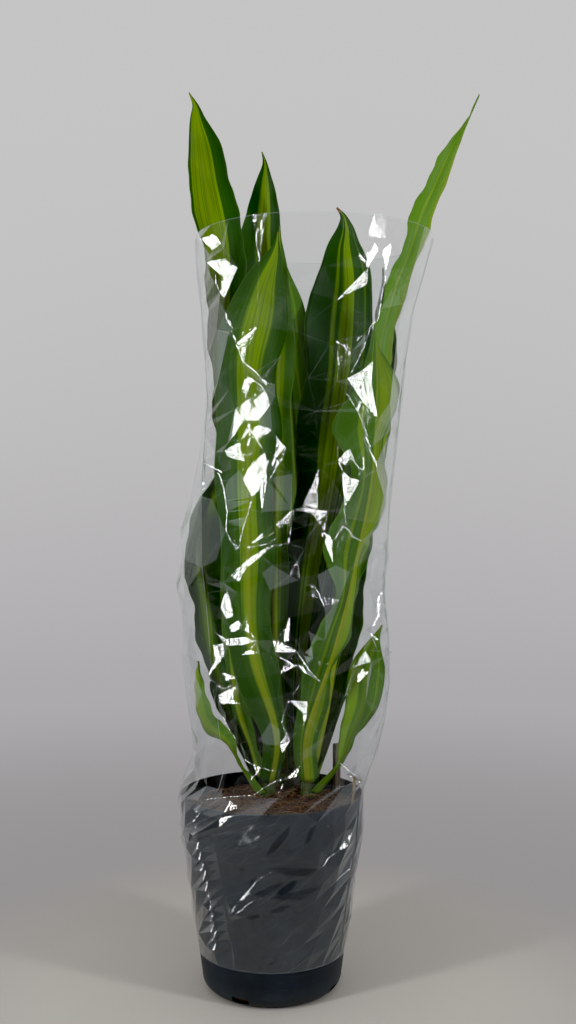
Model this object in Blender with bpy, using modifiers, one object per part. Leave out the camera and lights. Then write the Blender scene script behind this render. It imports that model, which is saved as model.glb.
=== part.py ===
# A dracaena with three leafy shoots in a nursery pot, inside a clear film sleeve.
# Metres, +Z up. The origin is the middle of the pot's underside and -Y is the front.
# Every leaf is one grid, laid along its own midrib, curled, waved and given its thickness.

import math
import random
from math import cos, pi, radians, sin

import bpy
import numpy as np
from mathutils import Vector, noise

GAP = 0.0003
MERGE = 0.00005

# Pot: outer radius at the rim, under the collar and above the rounded foot
POT_HEIGHT = 0.252
POT_RIM_RADIUS = 0.120
COLLAR_BOTTOM_Z = 0.200
COLLAR_BOTTOM_RADIUS = 0.1172
BODY_TOP_Z = 0.195
BODY_TOP_RADIUS = 0.1150
FOOT_RADIUS = 0.0914
FOOT_ROUND = 0.018
FOOT_ARC_STEPS = 4
POT_WALL = 0.0024
POT_FLOOR = 0.0032
POT_SIDES = 48
LIP_ROUND = 0.0008
BASE_DISC_RADIUS = 0.046
BASE_GROOVE_WIDTH = 0.014
BASE_GROOVE_DEPTH = 0.0012
SLOT_COUNT = 4
FIRST_SLOT_ANGLE = radians(244)
SLOT_LENGTH = 0.023
SLOT_BOTTOM_Z = 0.0052
SLOT_TOP_Z = 0.0130
SLOT_INNER_RADIUS = 0.070
SLOT_OUTER_RADIUS = 0.100

# Soil
SOIL_EDGE_Z = 0.2325
SOIL_MIDDLE_Z = 0.2415
SOIL_RINGS = 7
SOIL_LUMP_HEIGHT = 0.0024
SOIL_LUMP_WIDTH = 0.022

# Canes: the axis of each shoot, and how high each one grows
CANE_AXES = {
    "left": Vector((-0.008, 0.020, 0.0)),
    "right": Vector((0.050, 0.024, 0.0)),
    "back": Vector((0.018, 0.072, 0.0)),
}
CANE_BOTTOM_Z = 0.165
CANE_TOP_Z = {"left": 0.322, "right": 0.306, "back": 0.290}
CANE_RADIUS = 0.0130
CANE_TOP_RADIUS = 0.0080
CANE_RING_RELIEF = 0.0005
CANE_RING_HEIGHT = 0.0020
CANE_CROWN = 0.0050
CANE_END_ROUND = 0.0030
CANE_SIDES = 14

# Leaves
LEAF_STEP = 0.034
LEAF_STRIPS = 4
LEAF_THICKNESS = 0.0008
FOOT_HALF_WIDTH = 0.0175
FOOT_RUN = 0.045
FIRST_FOOT_Z = 0.2440
RUNG = 0.0080
CURLED_UNTIL = 0.14
TIP_CROWDING = 1.25
WAVE_LENGTH = 0.085
WAVE_START = 0.10
WAVE_FULL = 0.28
WAVE_FADE = 0.12
WAVE_POWER = 1.6
WAVE_SHIFT = 1.9
SWELL_LENGTH = 0.155
SWELL_SHIFT = 2.2
SWELL_ON_LEFT = 0.5
MIDRIB_SAMPLES = 400

# Half width of a blade as a share of its widest half width, along its length:
# a strap leaf, and a short young leaf on a narrow stalk
STRAP = [
    (0.00, 0.42), (0.09, 0.40), (0.19, 0.62), (0.30, 0.71), (0.42, 0.79), (0.53, 0.88), (0.64, 0.96),
    (0.74, 1.00), (1.00, 1.00),
]
STALKED = [
    (0.00, 0.42), (0.18, 0.24), (0.30, 0.24), (0.38, 0.34), (0.44, 0.43), (0.53, 0.54), (0.66, 0.74),
    (0.80, 1.00), (1.00, 1.05),
]
# and how far it has narrowed by how many metres are left to the tip
TIP_ALONG = [
    (0.000, 0.02), (0.014, 0.08), (0.034, 0.27), (0.058, 0.53), (0.088, 0.78), (0.125, 0.94), (0.165, 1.00),
]

# One leaf a line: shoot, rung on the cane, direction it leaves the cane (degrees from +X towards +Y),
# lean there (degrees), widest half width, curl radius, how high its margins wave and from where in the wave,
# by what share they swell in and out and from where, its kind,
# then the points its midrib passes through, then which way its upper face looks
# (share of its length, degrees)
LEAVES = [
    ("left", 0, 200, 28, 0.034, 0.040, 0.0020, 0.3, 0.10, 3.0, STALKED,
     [(-0.054, -0.004, 0.314), (-0.084, -0.010, 0.343), (-0.0940, -0.012, 0.374), (-0.0955, -0.012, 0.425)],
     [(0.0, 20), (0.5, 40), (1.0, 52)]),
    ("left", 1, 165, 22, 0.033, 0.055, 0.0040, 1.4, 0.14, 0.6, STRAP,
     [(-0.072, 0.020, 0.390), (-0.091, 0.027, 0.480), (-0.098, 0.029, 0.560), (-0.086, 0.036, 0.630),
      (-0.066, 0.048, 0.690)],
     [(0.0, 345), (0.4, 325), (1.0, 300)]),
    ("left", 2, 300, 18, 0.045, 0.065, 0.0040, 0.0, 0.15, 1.2, STRAP,
     [(-0.025, -0.050, 0.445), (-0.030, -0.066, 0.560), (-0.030, -0.073, 0.700),
      (-0.027, -0.064, 0.830), (-0.012, -0.052, 0.900), (0.006, -0.040, 0.960), (0.008, -0.038, 0.980)],
     [(0.0, 120), (0.3, 100), (1.0, 95)]),
    ("left", 3, 222, 18, 0.020, 0.045, 0.0025, 2.1, 0.12, 2.0, STRAP,
     [(-0.044, -0.006, 0.370), (-0.050, -0.018, 0.440), (-0.052, -0.026, 0.520), (-0.046, -0.026, 0.585)],
     [(0.0, 42), (0.5, 62), (1.0, 75)]),
    ("left", 4, 116, 18, 0.031, 0.060, 0.0035, 0.9, 0.14, 4.0, STRAP,
     [(-0.046, 0.075, 0.400), (-0.057, 0.085, 0.520), (-0.050, 0.086, 0.620), (-0.034, 0.084, 0.730)],
     [(0.0, 296), (0.5, 290), (1.0, 280)]),
    ("left", 5, 99, 15, 0.029, 0.060, 0.0030, 2.6, 0.14, 0.4, STRAP,
     [(-0.003, 0.087, 0.420), (-0.003, 0.110, 0.580), (-0.002, 0.116, 0.720), (0.002, 0.110, 0.870)],
     [(0.0, 279), (1.0, 268)]),
    ("left", 6, 310, 9, 0.022, 0.065, 0.0030, 1.0, 0.13, 5.0, STRAP,
     [(0.004, -0.006, 0.480), (0.006, -0.024, 0.635), (0.006, -0.030, 0.765), (0.008, -0.024, 0.895),
      (0.010, -0.012, 0.995)],
     [(0.0, 130), (0.12, 105), (1.0, 95)]),
    ("left", 7, 145, 12, 0.034, 0.060, 0.0035, 2.2, 0.12, 3.4, STRAP,
     [(-0.034, 0.030, 0.460), (-0.060, 0.023, 0.640), (-0.067, 0.021, 0.825), (-0.0715, 0.016, 0.980),
      (-0.0855, 0.012, 1.060), (-0.0920, 0.008, 1.104), (-0.0985, 0.005, 1.139), (-0.1010, 0.004, 1.157),
      (-0.1100, 0.004, 1.175)],
     [(0.0, 325), (0.5, 325), (0.75, 305), (0.9, 290), (1.0, 275)]),
    ("left", 8, 60, 8, 0.034, 0.065, 0.0030, 0.5, 0.10, 1.0, STRAP,
     [(-0.011, 0.055, 0.500), (-0.013, 0.069, 0.705), (-0.011, 0.066, 0.910), (-0.015, 0.058, 1.010),
      (-0.0105, 0.050, 1.073), (-0.0108, 0.047, 1.098), (-0.0145, 0.046, 1.110)],
     [(0.0, 240), (0.5, 246), (0.85, 248), (1.0, 262)]),
    ("right", 0, 345, 34, 0.045, 0.045, 0.0035, 0.0, 0.08, 0.0, STALKED,
     [(0.102, 0.006, 0.322), (0.1195, 0.002, 0.365), (0.1255, 0.001, 0.412), (0.134, 0.002, 0.445),
      (0.1455, 0.006, 0.470)],
     [(0.0, 165), (0.3, 135), (0.5, 98), (1.0, 88)]),
    ("right", 1, 90, 20, 0.020, 0.045, 0.0030, 1.2, 0.12, 2.0, STRAP,
     [(0.053, 0.062, 0.360), (0.060, 0.068, 0.420), (0.063, 0.068, 0.500)],
     [(0.0, 265), (1.0, 255)]),
    ("right", 2, 255, 14, 0.041, 0.065, 0.0040, 1.8, 0.70, 4.8, STRAP,
     [(0.080, -0.032, 0.445), (0.106, -0.046, 0.555), (0.127, -0.052, 0.670), (0.133, -0.046, 0.765),
      (0.133, -0.034, 0.865)],
     [(0.0, 75), (0.22, 126), (0.45, 138), (0.7, 122), (1.0, 115)]),
    ("right", 3, 25, 18, 0.033, 0.060, 0.0035, 0.2, 0.14, 3.0, STRAP,
     [(0.098, 0.048, 0.420), (0.109, 0.062, 0.560), (0.112, 0.070, 0.700), (0.104, 0.070, 0.850)],
     [(0.0, 205), (0.5, 240), (1.0, 255)]),
    ("right", 4, 150, 10, 0.047, 0.075, 0.0030, 2.8, 0.10, 2.0, STRAP,
     [(0.038, 0.032, 0.440), (0.045, 0.027, 0.510), (0.060, 0.021, 0.600), (0.078, 0.022, 0.730),
      (0.091, 0.028, 0.850), (0.0965, 0.030, 0.930), (0.0955, 0.030, 0.975), (0.0980, 0.029, 1.004),
      (0.0955, 0.028, 1.0175), (0.0865, 0.028, 1.0295)],
     [(0.0, 330), (0.2, 298), (0.4, 275), (0.65, 258), (1.0, 264)]),
    ("right", 5, 325, 12, 0.023, 0.026, 0.0030, 1.5, 0.16, 0.0, STRAP,
     [(0.084, 0.001, 0.440), (0.110, -0.002, 0.550), (0.134, -0.002, 0.635), (0.147, 0.000, 0.740),
      (0.151, 0.002, 0.835), (0.167, 0.003, 0.900), (0.197, 0.004, 0.985), (0.234, 0.008, 1.080),
      (0.257, 0.012, 1.134), (0.275, 0.010, 1.175)],
     [(0.0, 145), (0.5, 134), (0.7, 138), (0.88, 148), (0.95, 165), (1.0, 240)]),
    ("right", 6, 5, 10, 0.022, 0.050, 0.0025, 0.7, 0.14, 1.0, STRAP,
     [(0.093, 0.033, 0.460), (0.122, 0.038, 0.580), (0.143, 0.042, 0.740), (0.153, 0.040, 0.870),
      (0.149, 0.036, 0.950)],
     [(0.0, 185), (0.5, 230), (1.0, 240)]),
    ("back", 0, 100, 18, 0.028, 0.050, 0.0030, 0.4, 0.14, 0.0, STRAP,
     [(0.014, 0.114, 0.360), (0.020, 0.128, 0.450), (0.025, 0.126, 0.560)],
     [(0.0, 280), (1.0, 270)]),
    ("back", 1, 30, 20, 0.026, 0.050, 0.0030, 2.4, 0.14, 2.0, STRAP,
     [(0.060, 0.098, 0.370), (0.072, 0.108, 0.460), (0.070, 0.108, 0.560)],
     [(0.0, 210), (1.0, 235)]),
    ("back", 2, 165, 20, 0.026, 0.050, 0.0030, 1.1, 0.14, 4.0, STRAP,
     [(-0.030, 0.100, 0.390), (-0.044, 0.114, 0.480), (-0.040, 0.118, 0.580)],
     [(0.0, 345), (0.5, 310), (1.0, 300)]),
    ("back", 3, 268, 8, 0.030, 0.065, 0.0030, 1.9, 0.12, 1.0, STRAP,
     [(0.032, 0.049, 0.460), (0.034, 0.040, 0.600), (0.028, 0.036, 0.720), (0.021, 0.036, 0.820),
      (0.020, 0.034, 0.880), (0.016, 0.030, 0.935), (0.013, 0.028, 0.975)],
     [(0.0, 88), (0.4, 92), (1.0, 92)]),
    ("back", 4, 74, 9, 0.029, 0.065, 0.0030, 0.0, 0.14, 3.0, STRAP,
     [(0.048, 0.100, 0.480), (0.062, 0.112, 0.640), (0.064, 0.112, 0.790), (0.056, 0.104, 0.930)],
     [(0.0, 254), (0.5, 260), (1.0, 265)]),
]

# Film sleeve, bottom to top: height, middle x, half width and half depth of the tube
SLEEVE_ROWS = [
    (0.050, 0.000, 0.0972, 0.0972),
    (0.110, 0.000, 0.1049, 0.1049),
    (0.160, 0.000, 0.1116, 0.1116),
    (0.194, 0.000, 0.1168, 0.1168),
    (0.201, 0.000, 0.1184, 0.1184),
    (0.240, 0.000, 0.1204, 0.1204),
    (0.254, 0.000, 0.1212, 0.1212),
    (0.274, 0.006, 0.1200, 0.1190),
    (0.300, 0.016, 0.1190, 0.1200),
    (0.340, 0.020, 0.1270, 0.1270),
    (0.400, 0.020, 0.1350, 0.1350),
    (0.460, 0.018, 0.1360, 0.1400),
    (0.520, 0.013, 0.1350, 0.1430),
    (0.580, 0.016, 0.1360, 0.1450),
    (0.640, 0.024, 0.1320, 0.1430),
    (0.700, 0.033, 0.1295, 0.1410),
    (0.760, 0.041, 0.1280, 0.1390),
    (0.820, 0.0435, 0.1320, 0.1370),
    (0.880, 0.0460, 0.1380, 0.1380),
    (0.930, 0.0505, 0.1480, 0.1410),
    (0.980, 0.0560, 0.1560, 0.1430),
]
SLEEVE_SIDES = 36
SLEEVE_THICKNESS = 0.0006
SLEEVE_CRUMPLE = 0.0030
SLEEVE_LOOSE_FROM = 0.262
SLEEVE_SEED = 17

# Wooden stake and thin stick, from their foot in the soil to their top
STAKE_FOOT = Vector((0.0865, 0.052, 0.160))
STAKE_TOP = Vector((0.0875, 0.050, 0.304))
STAKE_WIDTH = 0.0080
STICK_FOOT = Vector((0.1040, 0.016, 0.180))
STICK_TOP = Vector((0.1100, 0.012, 0.268))
STICK_WIDTH = 0.0030
HOLE_CLEARANCE = 0.0006


def clear_scene():
    for item in list(bpy.data.objects):
        bpy.data.objects.remove(item, do_unlink=True)


def new_collection(name):
    collection = bpy.data.collections.new(name)
    bpy.context.scene.collection.children.link(collection)
    return collection


def new_material(name, colour, roughness, alpha=1.0):
    material = bpy.data.materials.new(name)
    material.use_nodes = True
    shader = material.node_tree.nodes["Principled BSDF"]
    shader.inputs["Base Color"].default_value = (*colour, 1.0)
    shader.inputs["Roughness"].default_value = roughness
    shader.inputs["Alpha"].default_value = alpha
    return material


def place(item, collection, material=None):
    """Move an object into its collection and give it its material."""
    for owner in list(item.users_collection):
        owner.objects.unlink(item)
    collection.objects.link(item)
    if material:
        item.data.materials.clear()
        item.data.materials.append(material)
    return item


def along(stops, where):
    """Value of a smooth curve through (place, value) stops, at each place asked for."""
    places = np.array([stop[0] for stop in stops], dtype=float)
    values = np.array([stop[1] for stop in stops], dtype=float)
    slopes = np.gradient(values, places, axis=0)
    where = np.clip(where, places[0], places[-1])
    index = np.clip(np.searchsorted(places, where, side="right") - 1, 0, len(places) - 2)
    span = places[index + 1] - places[index]
    t = (where - places[index]) / span
    if values.ndim > 1:
        span = span[:, None]
        t = t[:, None]
    rise = t * t * (3 - 2 * t)
    bend = slopes[index] * (1 - t) - slopes[index + 1] * t
    return values[index] * (1 - rise) + values[index + 1] * rise + bend * span * t * (1 - t)


def unit(vectors):
    return vectors / np.linalg.norm(vectors, axis=1, keepdims=True)


def cane_radius(shoot, z):
    """Radius of a cane at height z, without its leaf rings."""
    share = (z - SOIL_EDGE_Z) / (CANE_TOP_Z[shoot] - SOIL_EDGE_Z)
    return CANE_RADIUS + (CANE_TOP_RADIUS - CANE_RADIUS) * min(max(share, 0.0), 1.0)


def midrib(shoot, rung, heading, lean, points):
    """Smooth curve from the cane through the leaf's points, at even steps."""
    foot_z = FIRST_FOOT_Z + rung * RUNG
    outward = Vector((cos(heading), sin(heading), 0.0))
    radius = foot_radius(shoot, foot_z)
    foot = CANE_AXES[shoot] + outward * radius + Vector((0, 0, foot_z))
    knee = foot + outward * (FOOT_RUN * sin(lean)) + Vector((0, 0, FOOT_RUN * cos(lean)))
    route = np.array([foot, knee] + [Vector(point) for point in points])
    steps = np.linalg.norm(np.diff(route, axis=0), axis=1)
    chords = np.concatenate(([0.0], np.cumsum(steps)))
    fine = along(list(zip(chords, route)), np.linspace(0.0, chords[-1], MIDRIB_SAMPLES))
    travelled = np.concatenate(([0.0], np.cumsum(np.linalg.norm(np.diff(fine, axis=0), axis=1))))
    return fine, travelled


def foot_radius(shoot, foot_z):
    """Distance of a leaf's foot from the cane's axis, so that its flat strips clear the cane."""
    clear = cane_radius(shoot, foot_z) + CANE_RING_RELIEF + GAP
    strip_angle = 2 * FOOT_HALF_WIDTH / clear / LEAF_STRIPS
    return clear / cos(strip_angle / 2)


def leaf_surface(leaf, across, lengthwise):
    """Points of a leaf's upper face for across in -1..1 and lengthwise in 0..1."""
    shoot, rung, heading, lean, half_width, curl, wave, phase = leaf[:8]
    swell, swell_phase, kind, points, facing = leaf[8:]
    lean = radians(lean)
    fine, travelled = midrib(shoot, rung, radians(heading), lean, points)
    length = travelled[-1]
    run = lengthwise * length
    centre = np.column_stack([np.interp(run, travelled, fine[:, axis]) for axis in range(3)])
    slopes = np.gradient(fine, travelled, axis=0)
    tangent = unit(np.column_stack([np.interp(run, travelled, slopes[:, axis]) for axis in range(3)]))
    look = np.radians(along(facing, lengthwise))
    toward = np.column_stack([np.cos(look), np.sin(look), np.zeros_like(look)])
    normal = unit(toward - tangent * np.sum(toward * tangent, axis=1, keepdims=True))
    side = np.cross(tangent, normal)

    start = foot_radius(shoot, FIRST_FOOT_Z + rung * RUNG)
    blade_share = np.clip(run / FOOT_RUN, 0.0, 1.0)
    half = along(kind, lengthwise) * along(TIP_ALONG, length - run) * half_width
    half = FOOT_HALF_WIDTH * (1 - blade_share) + half * blade_share
    radius = np.interp(run, [0.0, FOOT_RUN, CURLED_UNTIL],
                       [start, start + FOOT_RUN * sin(lean), curl])
    margin = np.clip((lengthwise - WAVE_START) / (WAVE_FULL - WAVE_START), 0.0, 1.0)
    left_side = across > 0
    turn = 2 * pi * run / SWELL_LENGTH + swell_phase + np.where(left_side, SWELL_SHIFT, 0.0)
    swell = swell * margin * np.where(left_side, SWELL_ON_LEFT, 1.0) * np.sin(turn)
    angle = across * half * (1 + swell) / radius
    taper = np.clip((1.0 - lengthwise) / WAVE_FADE, 0.0, 1.0)
    swing = np.sin(2 * pi * run / WAVE_LENGTH + phase + np.where(across > 0, WAVE_SHIFT, 0.0))
    ripple = wave * margin * taper * np.abs(across) ** WAVE_POWER * swing
    return (centre + side * (radius * np.sin(angle))[:, None]
            + normal * (radius * (1 - np.cos(angle)) + ripple)[:, None])


def build_leaf(leaf, collection, material):
    shoot, rung, heading, lean = leaf[:4]
    points = leaf[-2]
    fine, travelled = midrib(shoot, rung, radians(heading), radians(lean), points)
    steps = round(travelled[-1] / LEAF_STEP)
    bpy.ops.mesh.primitive_grid_add(x_subdivisions=LEAF_STRIPS, y_subdivisions=steps, size=2.0)
    item = bpy.context.object
    item.name = f"leaf_{shoot}_{rung + 1}"
    flat = np.empty(len(item.data.vertices) * 3)
    item.data.vertices.foreach_get("co", flat)
    flat = flat.reshape(-1, 3)
    lengthwise = 1.0 - (1.0 - (flat[:, 1] + 1.0) / 2.0) ** TIP_CROWDING
    shaped = leaf_surface(leaf, flat[:, 0], lengthwise)
    item.data.vertices.foreach_set("co", shaped.ravel())
    item.data.update()
    item.data.shade_smooth()
    item.modifiers.new("Both faces split alike", "TRIANGULATE")
    skin = item.modifiers.new("Blade thickness", "SOLIDIFY")
    skin.thickness = LEAF_THICKNESS
    skin.offset = -1.0
    return place(item, collection, material)


def turned(name, profile, sides):
    """Solid turned from a profile of (radius, height) that runs down its outer side."""
    mesh = bpy.data.meshes.new(name)
    corners = [(radius, 0.0, z) for radius, z in profile]
    mesh.from_pydata(corners, [(i, i + 1) for i in range(len(corners) - 1)], [])
    item = bpy.data.objects.new(name, mesh)
    bpy.context.scene.collection.objects.link(item)
    screw = item.modifiers.new("Turn", "SCREW")
    screw.steps = sides
    screw.render_steps = sides
    screw.use_merge_vertices = True
    screw.merge_threshold = MERGE
    return item


def to_mesh(item):
    """Replace an object's mesh by what its modifiers make of it."""
    shape = item.evaluated_get(bpy.context.evaluated_depsgraph_get())
    mesh = bpy.data.meshes.new_from_object(shape)
    item.modifiers.clear()
    item.data = mesh
    return item


def cut(item, cutters):
    """Cut an object by every object of a collection."""
    boolean = item.modifiers.new("Holes", "BOOLEAN")
    boolean.operation = "DIFFERENCE"
    boolean.operand_type = "COLLECTION"
    boolean.collection = cutters
    boolean.solver = "EXACT"


def as_cutter(item, collection):
    item.hide_render = True
    item.display_type = "WIRE"
    return place(item, collection)


def pot_profile():
    inner_foot = FOOT_RADIUS - POT_WALL
    profile = [(0.0, POT_FLOOR)]
    inner_round = FOOT_ROUND - POT_WALL
    for step in range(FOOT_ARC_STEPS + 1):
        turn = -pi / 2 + step * (pi / 2) / FOOT_ARC_STEPS
        profile.append((inner_foot - inner_round + inner_round * cos(turn),
                        POT_FLOOR + inner_round + inner_round * sin(turn)))
    profile += [
        (BODY_TOP_RADIUS - POT_WALL, BODY_TOP_Z),
        (COLLAR_BOTTOM_RADIUS - POT_WALL, COLLAR_BOTTOM_Z),
        (POT_RIM_RADIUS - POT_WALL, POT_HEIGHT - LIP_ROUND),
        (POT_RIM_RADIUS - POT_WALL + LIP_ROUND, POT_HEIGHT),
        (POT_RIM_RADIUS - LIP_ROUND, POT_HEIGHT),
        (POT_RIM_RADIUS, POT_HEIGHT - LIP_ROUND),
        (COLLAR_BOTTOM_RADIUS, COLLAR_BOTTOM_Z),
        (BODY_TOP_RADIUS, BODY_TOP_Z),
    ]
    for step in range(FOOT_ARC_STEPS + 1):
        turn = -step * (pi / 2) / FOOT_ARC_STEPS
        profile.append((FOOT_RADIUS - FOOT_ROUND + FOOT_ROUND * cos(turn),
                        FOOT_ROUND + FOOT_ROUND * sin(turn)))
    groove_outer = BASE_DISC_RADIUS + BASE_GROOVE_WIDTH
    profile += [
        (groove_outer, 0.0),
        (groove_outer - BASE_GROOVE_DEPTH, BASE_GROOVE_DEPTH),
        (BASE_DISC_RADIUS + BASE_GROOVE_DEPTH, BASE_GROOVE_DEPTH),
        (BASE_DISC_RADIUS, 0.0),
        (0.0, 0.0),
    ]
    return profile


def build_pot(collection, cutters, material):
    pot = turned("pot", pot_profile(), POT_SIDES)
    for index in range(SLOT_COUNT):
        turn = FIRST_SLOT_ANGLE + index * 2 * pi / SLOT_COUNT
        reach = (SLOT_INNER_RADIUS + SLOT_OUTER_RADIUS) / 2
        bpy.ops.mesh.primitive_cube_add(
            size=1.0,
            location=(reach * cos(turn), reach * sin(turn), (SLOT_BOTTOM_Z + SLOT_TOP_Z) / 2),
            rotation=(0.0, 0.0, turn),
            scale=(SLOT_OUTER_RADIUS - SLOT_INNER_RADIUS, SLOT_LENGTH, SLOT_TOP_Z - SLOT_BOTTOM_Z),
        )
        slot = bpy.context.object
        slot.name = f"slot_cutter_{index + 1}"
        as_cutter(slot, cutters)
    cut(pot, cutters)
    return place(pot, collection, material)


def soil_profile():
    edge = POT_RIM_RADIUS - POT_WALL - GAP
    collar_slope = (POT_RIM_RADIUS - COLLAR_BOTTOM_RADIUS) / (POT_HEIGHT - COLLAR_BOTTOM_Z)
    top_radius = edge - collar_slope * (POT_HEIGHT - SOIL_EDGE_Z) - GAP
    profile = []
    for ring in range(SOIL_RINGS + 1):
        share = ring / SOIL_RINGS
        z = SOIL_MIDDLE_Z + (SOIL_EDGE_Z - SOIL_MIDDLE_Z) * share ** 2
        profile.append((top_radius * share, z))
    profile += [
        (COLLAR_BOTTOM_RADIUS - POT_WALL - 2 * GAP, COLLAR_BOTTOM_Z),
        (BODY_TOP_RADIUS - POT_WALL - 2 * GAP, BODY_TOP_Z),
    ]
    inner_round = FOOT_ROUND - POT_WALL
    inner_foot = FOOT_RADIUS - POT_WALL - 2 * GAP
    for step in range(FOOT_ARC_STEPS + 1):
        turn = -step * (pi / 2) / FOOT_ARC_STEPS
        profile.append((inner_foot - inner_round + inner_round * cos(turn),
                        POT_FLOOR + 2 * GAP + inner_round + inner_round * sin(turn)))
    profile.append((0.0, POT_FLOOR + GAP))
    return profile


def build_soil(collection, cutters, material):
    soil = to_mesh(turned("soil", soil_profile(), POT_SIDES // 2))
    for corner in soil.data.vertices:
        if corner.co.z > SOIL_EDGE_Z + GAP:
            spot = Vector((corner.co.x, corner.co.y, 0.0)) / SOIL_LUMP_WIDTH
            corner.co.z += SOIL_LUMP_HEIGHT * noise.noise(spot)
    for shoot, axis in CANE_AXES.items():
        depth = POT_HEIGHT - CANE_BOTTOM_Z + GAP
        bpy.ops.mesh.primitive_cylinder_add(
            vertices=CANE_SIDES,
            radius=CANE_RADIUS + HOLE_CLEARANCE,
            depth=depth,
            location=(axis.x, axis.y, POT_HEIGHT - depth / 2),
        )
        hole = bpy.context.object
        hole.name = f"cane_hole_{shoot}"
        as_cutter(hole, cutters)
    for name, foot, top, width in (
        ("stake_hole", STAKE_FOOT, STAKE_TOP, STAKE_WIDTH),
        ("stick_hole", STICK_FOOT, STICK_TOP, STICK_WIDTH),
    ):
        as_cutter(bar(name, foot, top, width + HOLE_CLEARANCE, GAP), cutters)
    cut(soil, cutters)
    return place(soil, collection, material)


def bar(name, foot, top, width, spare=0.0):
    """Square bar from foot to top, longer by spare at each end."""
    axis = top - foot
    bpy.ops.mesh.primitive_cube_add(
        size=1.0,
        location=(foot + top) / 2,
        rotation=axis.to_track_quat("Z", "Y").to_euler(),
        scale=(width, width, axis.length + 2 * spare),
    )
    item = bpy.context.object
    item.name = name
    return item


def build_cane(shoot, collection, material):
    rungs = sum(1 for leaf in LEAVES if leaf[0] == shoot)
    top = CANE_TOP_Z[shoot]
    profile = [(0.0, top), (CANE_TOP_RADIUS / 2, top - CANE_CROWN / 5), (CANE_TOP_RADIUS, top - CANE_CROWN)]
    for rung in reversed(range(rungs)):
        z = FIRST_FOOT_Z + rung * RUNG
        profile.append((cane_radius(shoot, z + CANE_RING_HEIGHT), z + CANE_RING_HEIGHT))
        profile.append((cane_radius(shoot, z) + CANE_RING_RELIEF, z))
    profile += [
        (CANE_RADIUS, SOIL_EDGE_Z),
        (CANE_RADIUS, CANE_BOTTOM_Z + CANE_END_ROUND),
        (CANE_RADIUS - CANE_END_ROUND, CANE_BOTTOM_Z),
        (0.0, CANE_BOTTOM_Z),
    ]
    cane = turned(f"cane_{shoot}", profile, CANE_SIDES)
    cane.location = CANE_AXES[shoot]
    return place(cane, collection, material)


def build_sleeve(collection, material):
    heights = [row[0] for row in SLEEVE_ROWS]
    sleeve = to_mesh(turned("film_sleeve", [(1.0, z) for z in reversed(heights)], SLEEVE_SIDES))
    draw = random.Random(SLEEVE_SEED)
    for corner in sleeve.data.vertices:
        row = min(SLEEVE_ROWS, key=lambda entry: abs(entry[0] - corner.co.z))
        z, middle, half_width, half_depth = row
        turn = math.atan2(corner.co.y, corner.co.x)
        loose = SLEEVE_CRUMPLE if z > SLEEVE_LOOSE_FROM else 0.0
        push = draw.uniform(-loose, loose)
        corner.co.x = middle + (half_width + push) * cos(turn)
        corner.co.y = (half_depth + push) * sin(turn)
    sleeve.modifiers.new("Both faces split alike", "TRIANGULATE")
    skin = sleeve.modifiers.new("Film thickness", "SOLIDIFY")
    skin.thickness = SLEEVE_THICKNESS
    skin.offset = 1.0
    return place(sleeve, collection, material)


def main():
    clear_scene()
    parts = new_collection("potted_dracaena")
    slot_cutters = new_collection("slot_cutters")
    hole_cutters = new_collection("hole_cutters")
    plastic = new_material("pot_plastic", (0.013, 0.017, 0.024), 0.50)
    earth = new_material("soil_mix", (0.045, 0.026, 0.016), 0.95)
    bark = new_material("cane_bark", (0.16, 0.17, 0.05), 0.70)
    green = new_material("leaf_green", (0.07, 0.17, 0.02), 0.38)
    film = new_material("clear_film", (0.80, 0.82, 0.84), 0.10, alpha=0.18)
    wood = new_material("stake_wood", (0.10, 0.055, 0.035), 0.80)

    build_pot(parts, slot_cutters, plastic)
    build_soil(parts, hole_cutters, earth)
    for shoot in CANE_AXES:
        build_cane(shoot, parts, bark)
    for leaf in LEAVES:
        build_leaf(leaf, parts, green)
    build_sleeve(parts, film)
    place(bar("stake", STAKE_FOOT, STAKE_TOP, STAKE_WIDTH), parts, wood)
    place(bar("stick", STICK_FOOT, STICK_TOP, STICK_WIDTH), parts, wood)


main()
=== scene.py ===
# Potted dracaena in a clear film sleeve, dressed over its CAD frame.
# Metres, +Z up. The origin is the middle of the pot's underside and -Y is the front.

import math
import random
from math import cos, pi, radians, sin

import bpy
import numpy as np
from mathutils import Matrix, Vector, noise
from mathutils.bvhtree import BVHTree
from mathutils.geometry import delaunay_2d_cdt


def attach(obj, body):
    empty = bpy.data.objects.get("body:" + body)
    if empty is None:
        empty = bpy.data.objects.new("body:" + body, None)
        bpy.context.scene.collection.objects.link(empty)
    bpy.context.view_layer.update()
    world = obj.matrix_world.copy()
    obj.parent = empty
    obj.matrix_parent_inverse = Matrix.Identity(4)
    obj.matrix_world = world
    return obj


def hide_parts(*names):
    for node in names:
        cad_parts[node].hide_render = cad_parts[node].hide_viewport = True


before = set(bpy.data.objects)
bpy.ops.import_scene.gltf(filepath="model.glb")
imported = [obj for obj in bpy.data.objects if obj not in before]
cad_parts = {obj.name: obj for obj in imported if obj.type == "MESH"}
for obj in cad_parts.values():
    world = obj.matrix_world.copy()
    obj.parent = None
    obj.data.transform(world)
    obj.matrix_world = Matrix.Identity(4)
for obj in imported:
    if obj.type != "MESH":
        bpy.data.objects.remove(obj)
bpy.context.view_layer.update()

# Pot
POT_HEIGHT = 0.252
POT_RIM_RADIUS = 0.120
COLLAR_BOTTOM_Z = 0.200
COLLAR_BOTTOM_RADIUS = 0.1172
BODY_TOP_Z = 0.195
BODY_TOP_RADIUS = 0.1150
FOOT_RADIUS = 0.0914
FOOT_ROUND = 0.018
POT_WALL = 0.0024
POT_SIDES = 128
BASE_DISC_RADIUS = 0.046
BASE_GROOVE_WIDTH = 0.014
BASE_GROOVE_DEPTH = 0.0012
SLOT_COUNT = 4
FIRST_SLOT_ANGLE = radians(244)
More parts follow.
